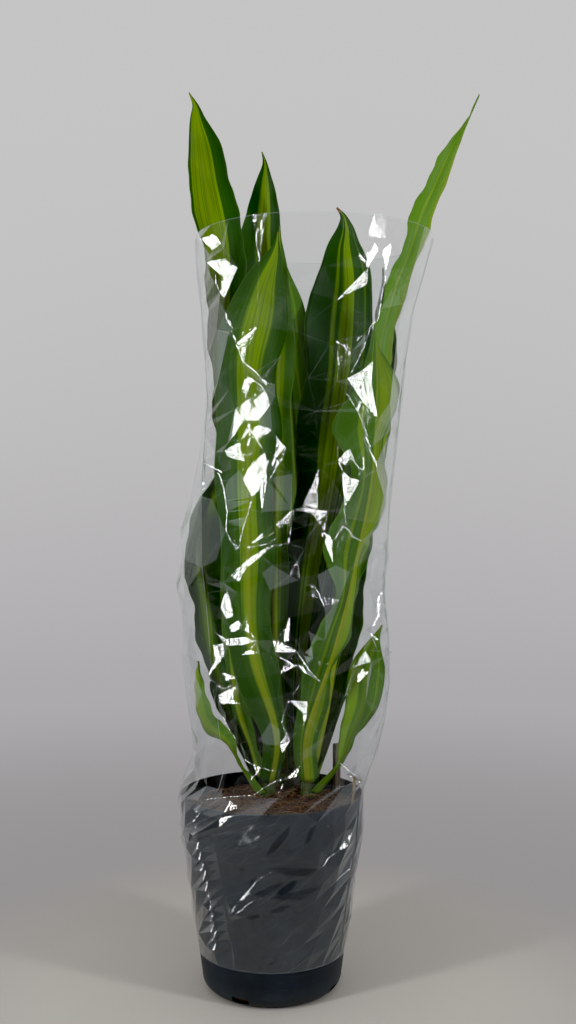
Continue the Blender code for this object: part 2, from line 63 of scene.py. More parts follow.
SLOT_LENGTH = 0.023
SLOT_BOTTOM_Z = 0.0052
SLOT_TOP_Z = 0.0130
SLOT_INNER_RADIUS = 0.070
SLOT_OUTER_RADIUS = 0.100
SLOT_CORNER = 0.0022
# How far inside and below an edge the pot's side starts to turn into it
BODY_TURN = (0.0001, 0.0010)
COLLAR_TURN = (0.0006, 0.0012)

# Soil
SOIL_EDGE_Z = 0.2325
SOIL_MIDDLE_Z = 0.2415
SOIL_RADIUS = 0.1163

# Canes
CANE_AXES = {
    "left": Vector((-0.008, 0.020, 0.0)),
    "right": Vector((0.050, 0.024, 0.0)),
    "back": Vector((0.018, 0.072, 0.0)),
}
CANE_BOTTOM_Z = 0.165
CANE_TOP_Z = {"left": 0.322, "right": 0.306, "back": 0.290}
CANE_RADIUS = 0.0130
CANE_TOP_RADIUS = 0.0080
CANE_RING_RELIEF = 0.0005
CANE_SIDES = 40
CANE_FOOT_CHAMFER = 0.0030
CANE_RING_HALF = 0.0012
CANE_RING_HOLLOW = 0.0002
# The bud at a cane's top: how far below the top and how wide it is, from its foot to its point
CANE_BUD = [(0.0050, 0.0080), (0.0012, 0.0048), (0.0, 0.0015)]

# Leaves, by the same formula as the CAD blades
GAP = 0.0003
CAD_STRIPS = 4
FOOT_HALF_WIDTH = 0.0175
FOOT_RUN = 0.045
FIRST_FOOT_Z = 0.2440
RUNG = 0.0080
CURLED_UNTIL = 0.14
TIP_CROWDING = 1.25
WAVE_LENGTH = 0.085
WAVE_START = 0.10
WAVE_FULL = 0.28
WAVE_FADE = 0.12
WAVE_POWER = 1.6
WAVE_SHIFT = 1.9
SWELL_LENGTH = 0.155
SWELL_SHIFT = 2.2
SWELL_ON_LEFT = 0.5
MIDRIB_SAMPLES = 400

# What the finer leaves add: more columns near the midrib, a groove over it, a keel under it and
# small frills. Keel and groove begin above the sheathed part of the foot
LEAF_COLUMNS = 26
LEAF_ROWS = 110
COLUMN_CROWDING = 1.35
BLADE_THICKNESS = 0.0005
KEEL_HEIGHT = 0.0030
KEEL_HALF_WIDTH = [
    (0.0, 0.0042), (0.10, 0.0048), (0.25, 0.0038), (0.45, 0.0026), (0.70, 0.0016), (1.00, 0.0009),
]
GROOVE_DEPTH = 0.0012
FRILL_HEIGHT = 0.0011
FRILL_LENGTH = 0.031
FRILL_POWER = 4
SHEATHED_SHARE = 0.6

# Half width of a blade as a share of its widest half width, along its length:
# a strap leaf, and a short young leaf on a narrow stalk
STRAP = [
    (0.00, 0.42), (0.09, 0.40), (0.19, 0.62), (0.30, 0.71), (0.42, 0.79), (0.53, 0.88), (0.64, 0.96),
    (0.74, 1.00), (1.00, 1.00),
]
STALKED = [
    (0.00, 0.42), (0.18, 0.24), (0.30, 0.24), (0.38, 0.34), (0.44, 0.43), (0.53, 0.54), (0.66, 0.74),
    (0.80, 1.00), (1.00, 1.05),
]
# and how far it has narrowed by how many metres are left to the tip
TIP_ALONG = [
    (0.000, 0.02), (0.014, 0.08), (0.034, 0.27), (0.058, 0.53), (0.088, 0.78), (0.125, 0.94),
    (0.165, 1.00),
]

# One entry for each leaf: shoot, rung on the cane, direction it leaves the cane (degrees from +X
# towards +Y), lean there (degrees), widest half width, curl radius, how high its margins wave and
# from where in the wave, by what share they swell in and out and from where, its kind, then the
# points its midrib passes through, then which way its upper face looks (share of its length, degrees)
LEAVES = [
    ("left", 0, 200, 28, 0.034, 0.040, 0.0020, 0.3, 0.10, 3.0, STALKED,
     [(-0.054, -0.004, 0.314), (-0.084, -0.010, 0.343), (-0.0940, -0.012, 0.374),
      (-0.0955, -0.012, 0.425)],
     [(0.0, 20), (0.5, 40), (1.0, 52)]),
    ("left", 1, 165, 22, 0.033, 0.055, 0.0040, 1.4, 0.14, 0.6, STRAP,
     [(-0.072, 0.020, 0.390), (-0.091, 0.027, 0.480), (-0.098, 0.029, 0.560), (-0.086, 0.036, 0.630),
      (-0.066, 0.048, 0.690)],
     [(0.0, 345), (0.4, 325), (1.0, 300)]),
    ("left", 2, 300, 18, 0.045, 0.065, 0.0040, 0.0, 0.15, 1.2, STRAP,
     [(-0.025, -0.050, 0.445), (-0.030, -0.066, 0.560), (-0.030, -0.073, 0.700),
      (-0.027, -0.064, 0.830), (-0.012, -0.052, 0.900), (0.006, -0.040, 0.960), (0.008, -0.038, 0.980)],
     [(0.0, 120), (0.3, 100), (1.0, 95)]),
    ("left", 3, 222, 18, 0.020, 0.045, 0.0025, 2.1, 0.12, 2.0, STRAP,
     [(-0.044, -0.006, 0.370), (-0.050, -0.018, 0.440), (-0.052, -0.026, 0.520),
      (-0.046, -0.026, 0.585)],
     [(0.0, 42), (0.5, 62), (1.0, 75)]),
    ("left", 4, 116, 18, 0.031, 0.060, 0.0035, 0.9, 0.14, 4.0, STRAP,
     [(-0.046, 0.075, 0.400), (-0.057, 0.085, 0.520), (-0.050, 0.086, 0.620), (-0.034, 0.084, 0.730)],
     [(0.0, 296), (0.5, 290), (1.0, 280)]),
    ("left", 5, 99, 15, 0.029, 0.060, 0.0030, 2.6, 0.14, 0.4, STRAP,
     [(-0.003, 0.087, 0.420), (-0.003, 0.110, 0.580), (-0.002, 0.116, 0.720), (0.002, 0.110, 0.870)],
     [(0.0, 279), (1.0, 268)]),
    ("left", 6, 310, 9, 0.022, 0.065, 0.0030, 1.0, 0.13, 5.0, STRAP,
     [(0.004, -0.006, 0.480), (0.006, -0.024, 0.635), (0.006, -0.030, 0.765), (0.008, -0.024, 0.895),
      (0.010, -0.012, 0.995)],
     [(0.0, 130), (0.12, 105), (1.0, 95)]),
    ("left", 7, 145, 12, 0.034, 0.060, 0.0035, 2.2, 0.12, 3.4, STRAP,
     [(-0.034, 0.030, 0.460), (-0.060, 0.023, 0.640), (-0.067, 0.021, 0.825), (-0.0715, 0.016, 0.980),
      (-0.0855, 0.012, 1.060), (-0.0920, 0.008, 1.104), (-0.0985, 0.005, 1.139), (-0.1010, 0.004, 1.157),
      (-0.1100, 0.004, 1.175)],
     [(0.0, 325), (0.5, 325), (0.75, 305), (0.9, 290), (1.0, 275)]),
    ("left", 8, 60, 8, 0.034, 0.065, 0.0030, 0.5, 0.10, 1.0, STRAP,
     [(-0.011, 0.055, 0.500), (-0.013, 0.069, 0.705), (-0.011, 0.066, 0.910), (-0.015, 0.058, 1.010),
      (-0.0105, 0.050, 1.073), (-0.0108, 0.047, 1.098), (-0.0145, 0.046, 1.110)],
     [(0.0, 240), (0.5, 246), (0.85, 248), (1.0, 262)]),
    ("right", 0, 345, 34, 0.045, 0.045, 0.0035, 0.0, 0.08, 0.0, STALKED,
     [(0.102, 0.006, 0.322), (0.1195, 0.002, 0.365), (0.1255, 0.001, 0.412), (0.134, 0.002, 0.445),
      (0.1455, 0.006, 0.470)],
     [(0.0, 165), (0.3, 135), (0.5, 98), (1.0, 88)]),
    ("right", 1, 90, 20, 0.020, 0.045, 0.0030, 1.2, 0.12, 2.0, STRAP,
     [(0.053, 0.062, 0.360), (0.060, 0.068, 0.420), (0.063, 0.068, 0.500)],
     [(0.0, 265), (1.0, 255)]),
    ("right", 2, 255, 14, 0.041, 0.065, 0.0040, 1.8, 0.70, 4.8, STRAP,
     [(0.080, -0.032, 0.445), (0.106, -0.046, 0.555), (0.127, -0.052, 0.670), (0.133, -0.046, 0.765),
      (0.133, -0.034, 0.865)],
     [(0.0, 75), (0.22, 126), (0.45, 138), (0.7, 122), (1.0, 115)]),
    ("right", 3, 25, 18, 0.033, 0.060, 0.0035, 0.2, 0.14, 3.0, STRAP,
     [(0.098, 0.048, 0.420), (0.109, 0.062, 0.560), (0.112, 0.070, 0.700), (0.104, 0.070, 0.850)],
     [(0.0, 205), (0.5, 240), (1.0, 255)]),
    ("right", 4, 150, 10, 0.047, 0.075, 0.0030, 2.8, 0.10, 2.0, STRAP,
     [(0.038, 0.032, 0.440), (0.045, 0.027, 0.510), (0.060, 0.021, 0.600), (0.078, 0.022, 0.730),
      (0.091, 0.028, 0.850), (0.0965, 0.030, 0.930), (0.0955, 0.030, 0.975), (0.0980, 0.029, 1.004),
      (0.0955, 0.028, 1.0175), (0.0865, 0.028, 1.0295)],
     [(0.0, 330), (0.2, 298), (0.4, 275), (0.65, 258), (1.0, 264)]),
    ("right", 5, 325, 12, 0.023, 0.026, 0.0030, 1.5, 0.16, 0.0, STRAP,
     [(0.084, 0.001, 0.440), (0.110, -0.002, 0.550), (0.134, -0.002, 0.635), (0.147, 0.000, 0.740),
      (0.151, 0.002, 0.835), (0.167, 0.003, 0.900), (0.197, 0.004, 0.985), (0.234, 0.008, 1.080),
      (0.257, 0.012, 1.134), (0.275, 0.010, 1.175)],
     [(0.0, 145), (0.5, 134), (0.7, 138), (0.88, 148), (0.95, 165), (1.0, 240)]),
    ("right", 6, 5, 10, 0.022, 0.050, 0.0025, 0.7, 0.14, 1.0, STRAP,
     [(0.093, 0.033, 0.460), (0.122, 0.038, 0.580), (0.143, 0.042, 0.740), (0.153, 0.040, 0.870),
      (0.149, 0.036, 0.950)],
     [(0.0, 185), (0.5, 230), (1.0, 240)]),
    ("back", 0, 100, 18, 0.028, 0.050, 0.0030, 0.4, 0.14, 0.0, STRAP,
     [(0.014, 0.114, 0.360), (0.020, 0.128, 0.450), (0.025, 0.126, 0.560)],
     [(0.0, 280), (1.0, 270)]),
    ("back", 1, 30, 20, 0.026, 0.050, 0.0030, 2.4, 0.14, 2.0, STRAP,
     [(0.060, 0.098, 0.370), (0.072, 0.108, 0.460), (0.070, 0.108, 0.560)],
     [(0.0, 210), (1.0, 235)]),
    ("back", 2, 165, 20, 0.026, 0.050, 0.0030, 1.1, 0.14, 4.0, STRAP,
     [(-0.030, 0.100, 0.390), (-0.044, 0.114, 0.480), (-0.040, 0.118, 0.580)],
     [(0.0, 345), (0.5, 310), (1.0, 300)]),
    ("back", 3, 268, 8, 0.030, 0.065, 0.0030, 1.9, 0.12, 1.0, STRAP,
     [(0.032, 0.049, 0.460), (0.034, 0.040, 0.600), (0.028, 0.036, 0.720), (0.021, 0.036, 0.820),
      (0.020, 0.034, 0.880), (0.016, 0.030, 0.935), (0.013, 0.028, 0.975)],
     [(0.0, 88), (0.4, 92), (1.0, 92)]),
    ("back", 4, 74, 9, 0.029, 0.065, 0.0030, 0.0, 0.14, 3.0, STRAP,
     [(0.048, 0.100, 0.480), (0.062, 0.112, 0.640), (0.064, 0.112, 0.790), (0.056, 0.104, 0.930)],
     [(0.0, 254), (0.5, 260), (1.0, 265)]),
]

# Film sleeve, bottom to top: height, middle x, half width and half depth of the tube
SLEEVE_ROWS = [
    (0.050, 0.000, 0.0972, 0.0972),
    (0.110, 0.000, 0.1049, 0.1049),
    (0.160, 0.000, 0.1116, 0.1116),
    (0.194, 0.000, 0.1168, 0.1168),
    (0.201, 0.000, 0.1184, 0.1184),
    (0.240, 0.000, 0.1204, 0.1204),
    (0.254, 0.000, 0.1212, 0.1212),
    (0.274, 0.006, 0.1200, 0.1190),
    (0.300, 0.016, 0.1190, 0.1200),
    (0.340, 0.020, 0.1270, 0.1270),
    (0.400, 0.020, 0.1350, 0.1350),
    (0.460, 0.018, 0.1360, 0.1400),
    (0.520, 0.013, 0.1350, 0.1430),
    (0.580, 0.016, 0.1360, 0.1450),
    (0.640, 0.024, 0.1320, 0.1430),
    (0.700, 0.033, 0.1295, 0.1410),
    (0.760, 0.041, 0.1280, 0.1390),
    (0.820, 0.0435, 0.1320, 0.1370),
    (0.880, 0.0460, 0.1380, 0.1380),
    (0.930, 0.0505, 0.1480, 0.1410),
    (0.980, 0.0560, 0.1560, 0.1430),
]


# ---------------------------------------------------------------- tools

def linear(code):
    """An sRGB hex colour as the linear colour that shaders take."""
    channels = [int(code[i:i + 2], 16) / 255 for i in (1, 3, 5)]
    return (*[c / 12.92 if c <= 0.04045 else ((c + 0.055) / 1.055) ** 2.4 for c in channels], 1.0)


def grain(millimetres):
    """Scale of a pattern whose swells or grains are this far apart."""
    return 1000 / millimetres


def add(material, kind, inputs=(), **settings):
    """One shader node with its settings. Its inputs are given by name, or in their order.
    An input takes a value, or another node's output."""
    node = material.node_tree.nodes.new("ShaderNode" + kind)
    for name, value in settings.items():
        setattr(node, name, value)
    for socket, value in inputs.items() if isinstance(inputs, dict) else enumerate(inputs):
        if isinstance(value, bpy.types.Node):
            value = value.outputs[0]
        if isinstance(value, bpy.types.NodeSocket):
            material.node_tree.links.new(value, node.inputs[socket])
        else:
            node.inputs[socket].default_value = value
    return node


def new_material(name):
    """An empty material, and the place in its piece that a pattern reads."""
    material = bpy.data.materials.new(name)
    material.use_nodes = True
    material.node_tree.nodes.clear()
    return material, add(material, "TexCoord").outputs["Object"]


def finish_material(material, surface):
    """Give the material its surface, and give the material back."""
    add(material, "OutputMaterial", {"Surface": surface})
    return material


def start_clear():
    """Select nothing, so that the next operator acts on its own piece alone."""
    bpy.ops.object.select_all(action="DESELECT")


def take(piece):
    """Select one piece alone and make it the active one."""
    start_clear()
    piece.select_set(True)
    bpy.context.view_layer.objects.active = piece


def edit_all():
    """Edit the active piece with all of it selected."""
    bpy.ops.object.mode_set(mode="EDIT")
    bpy.ops.mesh.select_all(action="SELECT")


def close_outwards():
    """Turn the faces of the piece in edit mode outwards, and leave edit mode."""
    bpy.ops.mesh.select_all(action="SELECT")
    bpy.ops.mesh.normals_make_consistent(inside=False)
    bpy.ops.object.mode_set(mode="OBJECT")


def settle(piece, name, material):
    """Name a piece, give it its material and put its place into its mesh."""
    take(piece)
    piece.name = name
    piece.data.name = name
    bpy.ops.object.transform_apply(location=True, rotation=True, scale=True)
    piece.data.materials.clear()
    piece.data.materials.append(material)
    return piece


def apply_modifiers(piece):
    """Apply all of a piece's modifiers, in their order."""
    take(piece)
    for modifier in list(piece.modifiers):
        bpy.ops.object.modifier_apply(modifier=modifier.name)


def ring_by_ring(name, profile, sides, material):
    """Round piece, extruded and sized ring after ring along a profile of (radius, height)."""
    start_clear()
    radius, height = profile[0]
    bpy.ops.mesh.primitive_circle_add(vertices=sides, radius=radius, location=(0, 0, height))
    piece = bpy.context.object
    bpy.ops.object.transform_apply(location=True)
    edit_all()
    for next_radius, next_height in profile[1:]:
        bpy.ops.mesh.extrude_region_move(TRANSFORM_OT_translate={"value": (0, 0, next_height - height)})
        share = next_radius / radius
        bpy.ops.transform.resize(value=(share, share, 1), center_override=(0, 0, next_height))
        radius, height = next_radius, next_height
    bpy.ops.mesh.select_all(action="SELECT")
    bpy.ops.mesh.fill_holes(sides=0)
    close_outwards()
    return settle(piece, name, material)


def read_points(piece):
    """Corners of a piece as rows of x, y and z."""
    flat = np.empty(len(piece.data.vertices) * 3)
    piece.data.vertices.foreach_get("co", flat)
    return flat.reshape(-1, 3)


def write_points(piece, points):
    """Move the corners of a piece to these rows of x, y and z."""
    piece.data.vertices.foreach_set("co", np.asarray(points, dtype=float).ravel())
    piece.data.update()


def along(stops, where):
    """Value of a smooth curve through (place, value) stops, at each place asked for."""
    places = np.array([stop[0] for stop in stops], dtype=float)
    values = np.array([stop[1] for stop in stops], dtype=float)
    slopes = np.gradient(values, places, axis=0)
    where = np.clip(where, places[0], places[-1])
    index = np.clip(np.searchsorted(places, where, side="right") - 1, 0, len(places) - 2)
    span = places[index + 1] - places[index]
    t = (where - places[index]) / span
    if values.ndim > 1:
        span = span[:, None]
        t = t[:, None]
    rise = t * t * (3 - 2 * t)
    bend = slopes[index] * (1 - t) - slopes[index + 1] * t
    return values[index] * (1 - rise) + values[index + 1] * rise + bend * span * t * (1 - t)


def unit(vectors):
    """Each row of a table as a vector of length one."""
    return vectors / np.linalg.norm(vectors, axis=1, keepdims=True)


# ---------------------------------------------------------------- materials

def leaf_material(name, margin, shade, middle_green, stripe, lime, keel, rib_strength, shine):
    """Live dracaena leaf: a waxy skin over long parallel veins, so it shines softly along its length.
    The stripes run from foot to tip, and bunch together where the blade narrows."""
    m, place = new_material(name)
    uv = add(m, "SeparateXYZ", (add(m, "UVMap", uv_map="UVMap"),))
    across = add(m, "MapRange", (uv.outputs[0], 0.0, 1.0, -1.0, 1.0), clamp=False)
    plan, blade, tones = [
        add(m, "SeparateXYZ", (add(m, "Attribute", attribute_name=layer).outputs["Vector"],)).outputs
        for layer in ("stripe_plan", "blade_size", "leaf_tone_and_painted_light")]
    middle, half_share, seed = plan
    half_width, run, tip_left = blade
    paleness_and_painted_light, stripe_strength, keel_share = tones

    # Broad streaks, 4 a half width, and fine ones, 13 a half width. Both run for about a metre
    shift = add(m, "Math", (across, seed), operation="ADD")
    streaks = []
    for count, per_metre, detail in ((4.0, 1.1, 1.0), (13.0, 0.9, 2.0)):
        aside = add(m, "Math", (shift, count), operation="MULTIPLY")
        ahead = add(m, "Math", (run, per_metre), operation="MULTIPLY")
        streak_place = add(m, "CombineXYZ", (aside, ahead, seed))
        streaks.append(add(m, "TexNoise", {"Vector": streak_place, "Scale": 1.0, "Detail": detail}))
    broad, fine = streaks

    # The striped band: its edges swing with the broad streaks and fray with the fine ones, it narrows
    # towards the foot, and a thin twin of it runs on the other side of the midrib
    offset = add(m, "Math", (across, middle), operation="SUBTRACT")
    swing = add(m, "MapRange", (broad, 0.3, 0.7, -0.14, 0.14), clamp=False)
    streak = add(m, "MapRange", (fine, 0.3, 0.7, -0.06, 0.06), clamp=False)
    spread = add(m, "Math", (add(m, "Math", (offset,), operation="ABSOLUTE"), swing), operation="ADD")
    frayed = add(m, "Math", (spread, streak), operation="ADD")
    narrowed = add(m, "MapRange", (run, 0.02, 0.36, 0.42, 1.0))
    share_here = add(m, "Math", (half_share, narrowed), operation="MULTIPLY")
    outside = add(m, "Math", (frayed, share_here), operation="SUBTRACT")
    band = add(m, "MapRange", (outside, 0.07, -0.07, 0.0, 1.0), interpolation_type="SMOOTHSTEP")
    mirrored = add(m, "Math", (across, middle), operation="ADD")
    twin_place = add(m, "Math", (mirrored,), operation="ABSOLUTE")
    twin = add(m, "MapRange", (twin_place, 0.085, 0.035, 0.0, 0.60), interpolation_type="SMOOTHSTEP")
    wanted = add(m, "Math", (band, twin), operation="MAXIMUM")
    green_lines = add(m, "MapRange", (fine, 0.53, 0.66, 1.0, 0.50), interpolation_type="SMOOTHSTEP")
    lined = add(m, "Math", (wanted, green_lines), operation="MULTIPLY")
    # Painted shade in part: the stripes' strength is lowered on some leaves that lie in shade
    striped = add(m, "Math", (lined, stripe_strength), operation="MULTIPLY")

    # The greens, in clouds about 9 cm wide: paler along the broad streaks and beside the band, and by
    # each leaf's paleness, which is partly painted light raised on leaves in shade, and less yellow
    # where the foot is sheathed
    clouds = add(m, "TexNoise", {"Vector": place, "Scale": grain(90.9), "Detail": 2.0})
    tone = add(m, "MapRange", (clouds, 0.35, 0.65, 0.0, 1.0))
    dark = add(m, "MixRGB", (tone, linear(margin), linear(shade)))
    paler = add(m, "MapRange", (broad, 0.50, 0.75, 0.0, 0.22))
    beside = add(m, "MapRange", (outside, 0.30, 0.0, 0.0, 0.25))
    palest = add(m, "Math", (paler, beside), operation="MAXIMUM")
    greener = add(m, "Math", (palest, paleness_and_painted_light), operation="ADD")
    green = add(m, "MixRGB", (greener, dark, linear(middle_green)), use_clamp=True)
    bright = add(m, "MixRGB", (tone, linear(stripe), linear(lime)))
    sheathed = add(m, "MapRange", (run, 0.05, 0.30, 0.22, 0.0))
    yellow = add(m, "MixRGB", (sheathed, bright, linear(middle_green)))
    ground = add(m, "MixRGB", (striped, green, yellow))

    # Midrib: a pale keel, widest near the foot
    to_edge = add(m, "Math", (across,), operation="ABSOLUTE")
    distance = add(m, "Math", (to_edge, half_width), operation="MULTIPLY")
    rib_edge = add(m, "MapRange", (run, 0.08, 0.50, 0.0036, 0.0009))
    rib_share = add(m, "Math", (distance, rib_edge), operation="DIVIDE")
    rib = add(m, "MapRange", (rib_share, 1.15, 0.75, 0.0, rib_strength), interpolation_type="SMOOTHSTEP")
    rib_fade = add(m, "MapRange", (run, 0.30, 0.60, 1.0, 0.15))
    rib_here = add(m, "Math", (rib, rib_fade), operation="MULTIPLY")
    rib_mask = add(m, "Math", (rib_here, keel_share), operation="MULTIPLY")
    ribbed = add(m, "MixRGB", (rib_mask, ground, linear(keel)))

    # Thin pale edge, and a dried tip
    edge = add(m, "MapRange", (to_edge, 0.968, 0.995, 0.0, 0.35))
    edged = add(m, "MixRGB", (edge, ribbed, linear("#6c8a2c")))
    dry = add(m, "MapRange", (tip_left, 1.10, 0.70, 0.0, 1.0), interpolation_type="SMOOTHSTEP")
    colour = add(m, "MixRGB", (dry, edged, linear("#6e4a22")))

    veins = add(m, "Bump", {"Strength": 0.30, "Distance": 0.0006, "Height": fine})
    gloss = add(m, "MapRange", (clouds, 0.3, 0.7, 0.38, 0.52))
    skin = add(m, "BsdfPrincipled", {"Base Color": colour, "Roughness": gloss, "Normal": veins,
                                     "IOR": 1.45, "Specular IOR Level": shine})
    return finish_material(m, skin)


def bark_material():
    """Young dracaena cane: smooth green-brown bark with pale corky rings where leaves have dropped."""
    m, place = new_material("young_cane_bark")
    heights = add(m, "SeparateXYZ", (place,))
    turn = add(m, "Math", (heights.outputs[2], 2 * pi / RUNG), operation="MULTIPLY")
    rings = add(m, "Math", (turn,), operation="SINE")
    streak_place = add(m, "Mapping", {"Vector": place, "Scale": (grain(3.85), grain(3.85), grain(25))})
    streaks = add(m, "TexNoise", {"Vector": streak_place, "Scale": 1.0, "Detail": 3.0})
    soft_rings = add(m, "Math", (rings, 0.12), operation="MULTIPLY")
    mixed = add(m, "Math", (soft_rings, streaks), operation="ADD")
    tone = add(m, "MapRange", (mixed, 0.3, 0.7, 0.0, 1.0))
    colour = add(m, "MixRGB", (tone, linear("#26360b"), linear("#404d14")))
    bump = add(m, "Bump", {"Strength": 0.5, "Distance": 0.0005, "Height": mixed})
    bark = add(m, "BsdfPrincipled", {"Base Color": colour, "Roughness": 0.68, "Normal": bump})
    return finish_material(m, bark)


def soil_material():
    """Moist peat and coir: matt, open and very dark between its crumbs."""
    m, place = new_material("peat_and_coir")
    lumps = add(m, "TexNoise", {"Vector": place, "Scale": grain(11.1), "Detail": 5.0, "Roughness": 0.65})
    grains = add(m, "TexVoronoi", {"Vector": place, "Scale": grain(3.03)})
    tone = add(m, "MapRange", (lumps, 0.36, 0.66, 0.0, 1.0))
    earth = add(m, "MixRGB", (tone, linear("#2a160b"), linear("#523320")))
    fleck = add(m, "MapRange", (grains.outputs["Distance"], 0.0, 0.5, 0.35, 0.0))
    colour = add(m, "MixRGB", (fleck, earth, linear("#6f5237")))
    height = add(m, "Math", (lumps, grains.outputs["Distance"]), operation="SUBTRACT")
    bump = add(m, "Bump", {"Strength": 0.8, "Distance": 0.0012, "Height": height})
    soil = add(m, "BsdfPrincipled", {"Base Color": colour, "Roughness": 0.95, "Normal": bump})
    return finish_material(m, soil)


def fibre_material():
    """Coir fibre: dry, straw-brown and matt, paler than the peat round it."""
    m, place = new_material("dry_coir_fibre")
    tone = add(m, "TexNoise", {"Vector": place, "Scale": grain(7.14), "Detail": 2.0})
    colour = add(m, "MixRGB", (tone, linear("#4c341e"), linear("#8a6941")))
    return finish_material(m, add(m, "BsdfPrincipled", {"Base Color": colour, "Roughness": 0.85}))


def pot_material():
    """Moulded polypropylene nursery pot, anthracite: a fine eroded grain that kills the gloss,
    grey dust along the foot and light scuffs round it."""
    m, place = new_material("anthracite_moulded_polypropylene")
    heights = add(m, "SeparateXYZ", (place,))
    clouds = add(m, "TexNoise", {"Vector": place, "Scale": grain(38.5), "Detail": 4.0, "Roughness": 0.6})
    tone = add(m, "MapRange", (clouds, 0.35, 0.70, 0.0, 1.0))
    plastic = add(m, "MixRGB", (tone, linear("#0c131c"), linear("#141e2a")))
    scuff_place = add(m, "Mapping", {"Vector": place, "Scale": (grain(33.3), grain(33.3), grain(3.85))})
    scuffs = add(m, "TexNoise", {"Vector": scuff_place, "Scale": 1.0, "Detail": 3.0})
    scuffed = add(m, "MapRange", (scuffs, 0.62, 0.74, 0.0, 0.30))
    near_foot = add(m, "MapRange", (heights.outputs[2], 0.030, 0.0, 0.0, 0.35))
    cloudy_scuffs = add(m, "Math", (scuffed, tone), operation="MULTIPLY")
    dust = add(m, "Math", (near_foot, cloudy_scuffs), operation="ADD")
    dusted = add(m, "Math", (dust, clouds), operation="MULTIPLY")
    colour = add(m, "MixRGB", (dusted, plastic, linear("#5a5f62")))
    eroded = add(m, "TexNoise", {"Vector": place, "Scale": grain(1.11), "Detail": 1.0})
    bump = add(m, "Bump", {"Strength": 0.10, "Distance": 0.0002, "Height": eroded})
    gloss = add(m, "MapRange", (clouds, 0.3, 0.7, 0.42, 0.56))
    skin = add(m, "BsdfPrincipled", {"Base Color": colour, "Roughness": gloss, "Normal": bump,
                                     "IOR": 1.49, "Specular IOR Level": 0.35})
    return finish_material(m, skin)


def film_material(name, haze_least, haze_most, mirror_least, roughness):
    """Clear cast polypropylene film: it mirrors the lamps in crisp flashes and hides little behind it.
    Its mirror grows steeply towards a grazing look, as a plastic's does, and it is milky in clouds
    and where it is doubled."""
    m, place = new_material(name)
    swells = add(m, "TexNoise", {"Vector": place, "Scale": grain(22.7), "Detail": 4.0, "Roughness": 0.6})
    bump = add(m, "Bump", {"Strength": 1.0, "Distance": 0.0008, "Height": swells})
    facing = add(m, "LayerWeight", {"Blend": 0.5}).outputs["Facing"]
    steep = add(m, "Math", (facing, 4.2), operation="POWER")
    mirror = add(m, "MapRange", (steep, 0.0, 1.0, mirror_least, 0.85))
    veil = add(m, "TexNoise", {"Vector": place, "Scale": grain(111), "Detail": 1.0})
    cloud = add(m, "MapRange", (veil, 0.48, 0.62, haze_least, haze_most))
    doubled = add(m, "Attribute", attribute_name="doubled_film").outputs["Fac"]
    veiled = add(m, "Math", (cloud, doubled), operation="ADD")
    clear = add(m, "BsdfTransparent", {"Color": linear("#fcfdfd")})
    milky = add(m, "BsdfDiffuse", {"Color": linear("#dfe7ee")})
    gloss = add(m, "BsdfGlossy", {"Color": linear("#ffffff"), "Roughness": roughness, "Normal": bump})
    body = add(m, "MixShader", (veiled, clear, milky))
    return finish_material(m, add(m, "MixShader", (mirror, body, gloss)))


def wood_material(name, light, dark, ring_millimetres):
    """Weathered softwood: dull, with a grain 18 times as long as its rings are wide."""
    m, place = new_material(name)
    round_it, along_it = grain(ring_millimetres), grain(18 * ring_millimetres)
    fibre_place = add(m, "Mapping", {"Vector": place, "Scale": (round_it, round_it, along_it)})
    fibres = add(m, "TexNoise", {"Vector": fibre_place, "Scale": 1.0, "Detail": 4.0, "Roughness": 0.6})
    tone = add(m, "MapRange", (fibres, 0.35, 0.65, 0.0, 1.0))
    colour = add(m, "MixRGB", (tone, linear(dark), linear(light)))
    bump = add(m, "Bump", {"Strength": 0.6, "Distance": 0.0004, "Height": fibres})
    wood = add(m, "BsdfPrincipled", {"Base Color": colour, "Roughness": 0.82, "Normal": bump})
    return finish_material(m, wood)


def floor_material():
    """Painted studio sweep, pale and matt. Near the pot it takes light and shadow as paint does.
    Further off it glows with painted light instead of taking the lamps' light, darker over the far floor
    and a little brighter towards its top."""
    m, place = new_material("pale_studio_paint")
    axes = add(m, "SeparateXYZ", (place,))
    flat = add(m, "CombineXYZ", (axes.outputs[0], axes.outputs[1]))
    away = add(m, "VectorMath", (flat,), operation="LENGTH").outputs["Value"]
    reach = add(m, "Math", (away, axes.outputs[2]), operation="ADD")
    patches = add(m, "TexNoise", {"Vector": place, "Scale": grain(333), "Detail": 4.0})
    near = add(m, "MixRGB", (patches, linear("#a8a49e"), linear("#b0aca6")))
    paint = add(m, "BsdfPrincipled", {"Base Color": near, "Roughness": 0.9})
    # Painted light: the glow is darker over the far floor and brighter up the wall, as the studio light
    # fell on them
    low = add(m, "MapRange", (reach, 0.5, 2.4, 0.0, 1.0), interpolation_type="SMOOTHSTEP")
    lower = add(m, "MixRGB", (low, linear("#979495"), linear("#adabae")))
    high = add(m, "MapRange", (reach, 2.4, 8.0, 0.0, 1.0), interpolation_type="SMOOTHSTEP")
    wall = add(m, "MixRGB", (high, lower, linear("#c6c5c5")))
    lit = add(m, "Emission", {"Color": wall})
    far = add(m, "MapRange", (away, 0.26, 0.60, 0.0, 1.0), interpolation_type="SMOOTHSTEP")
    return finish_material(m, add(m, "MixShader", (far, paint, lit)))


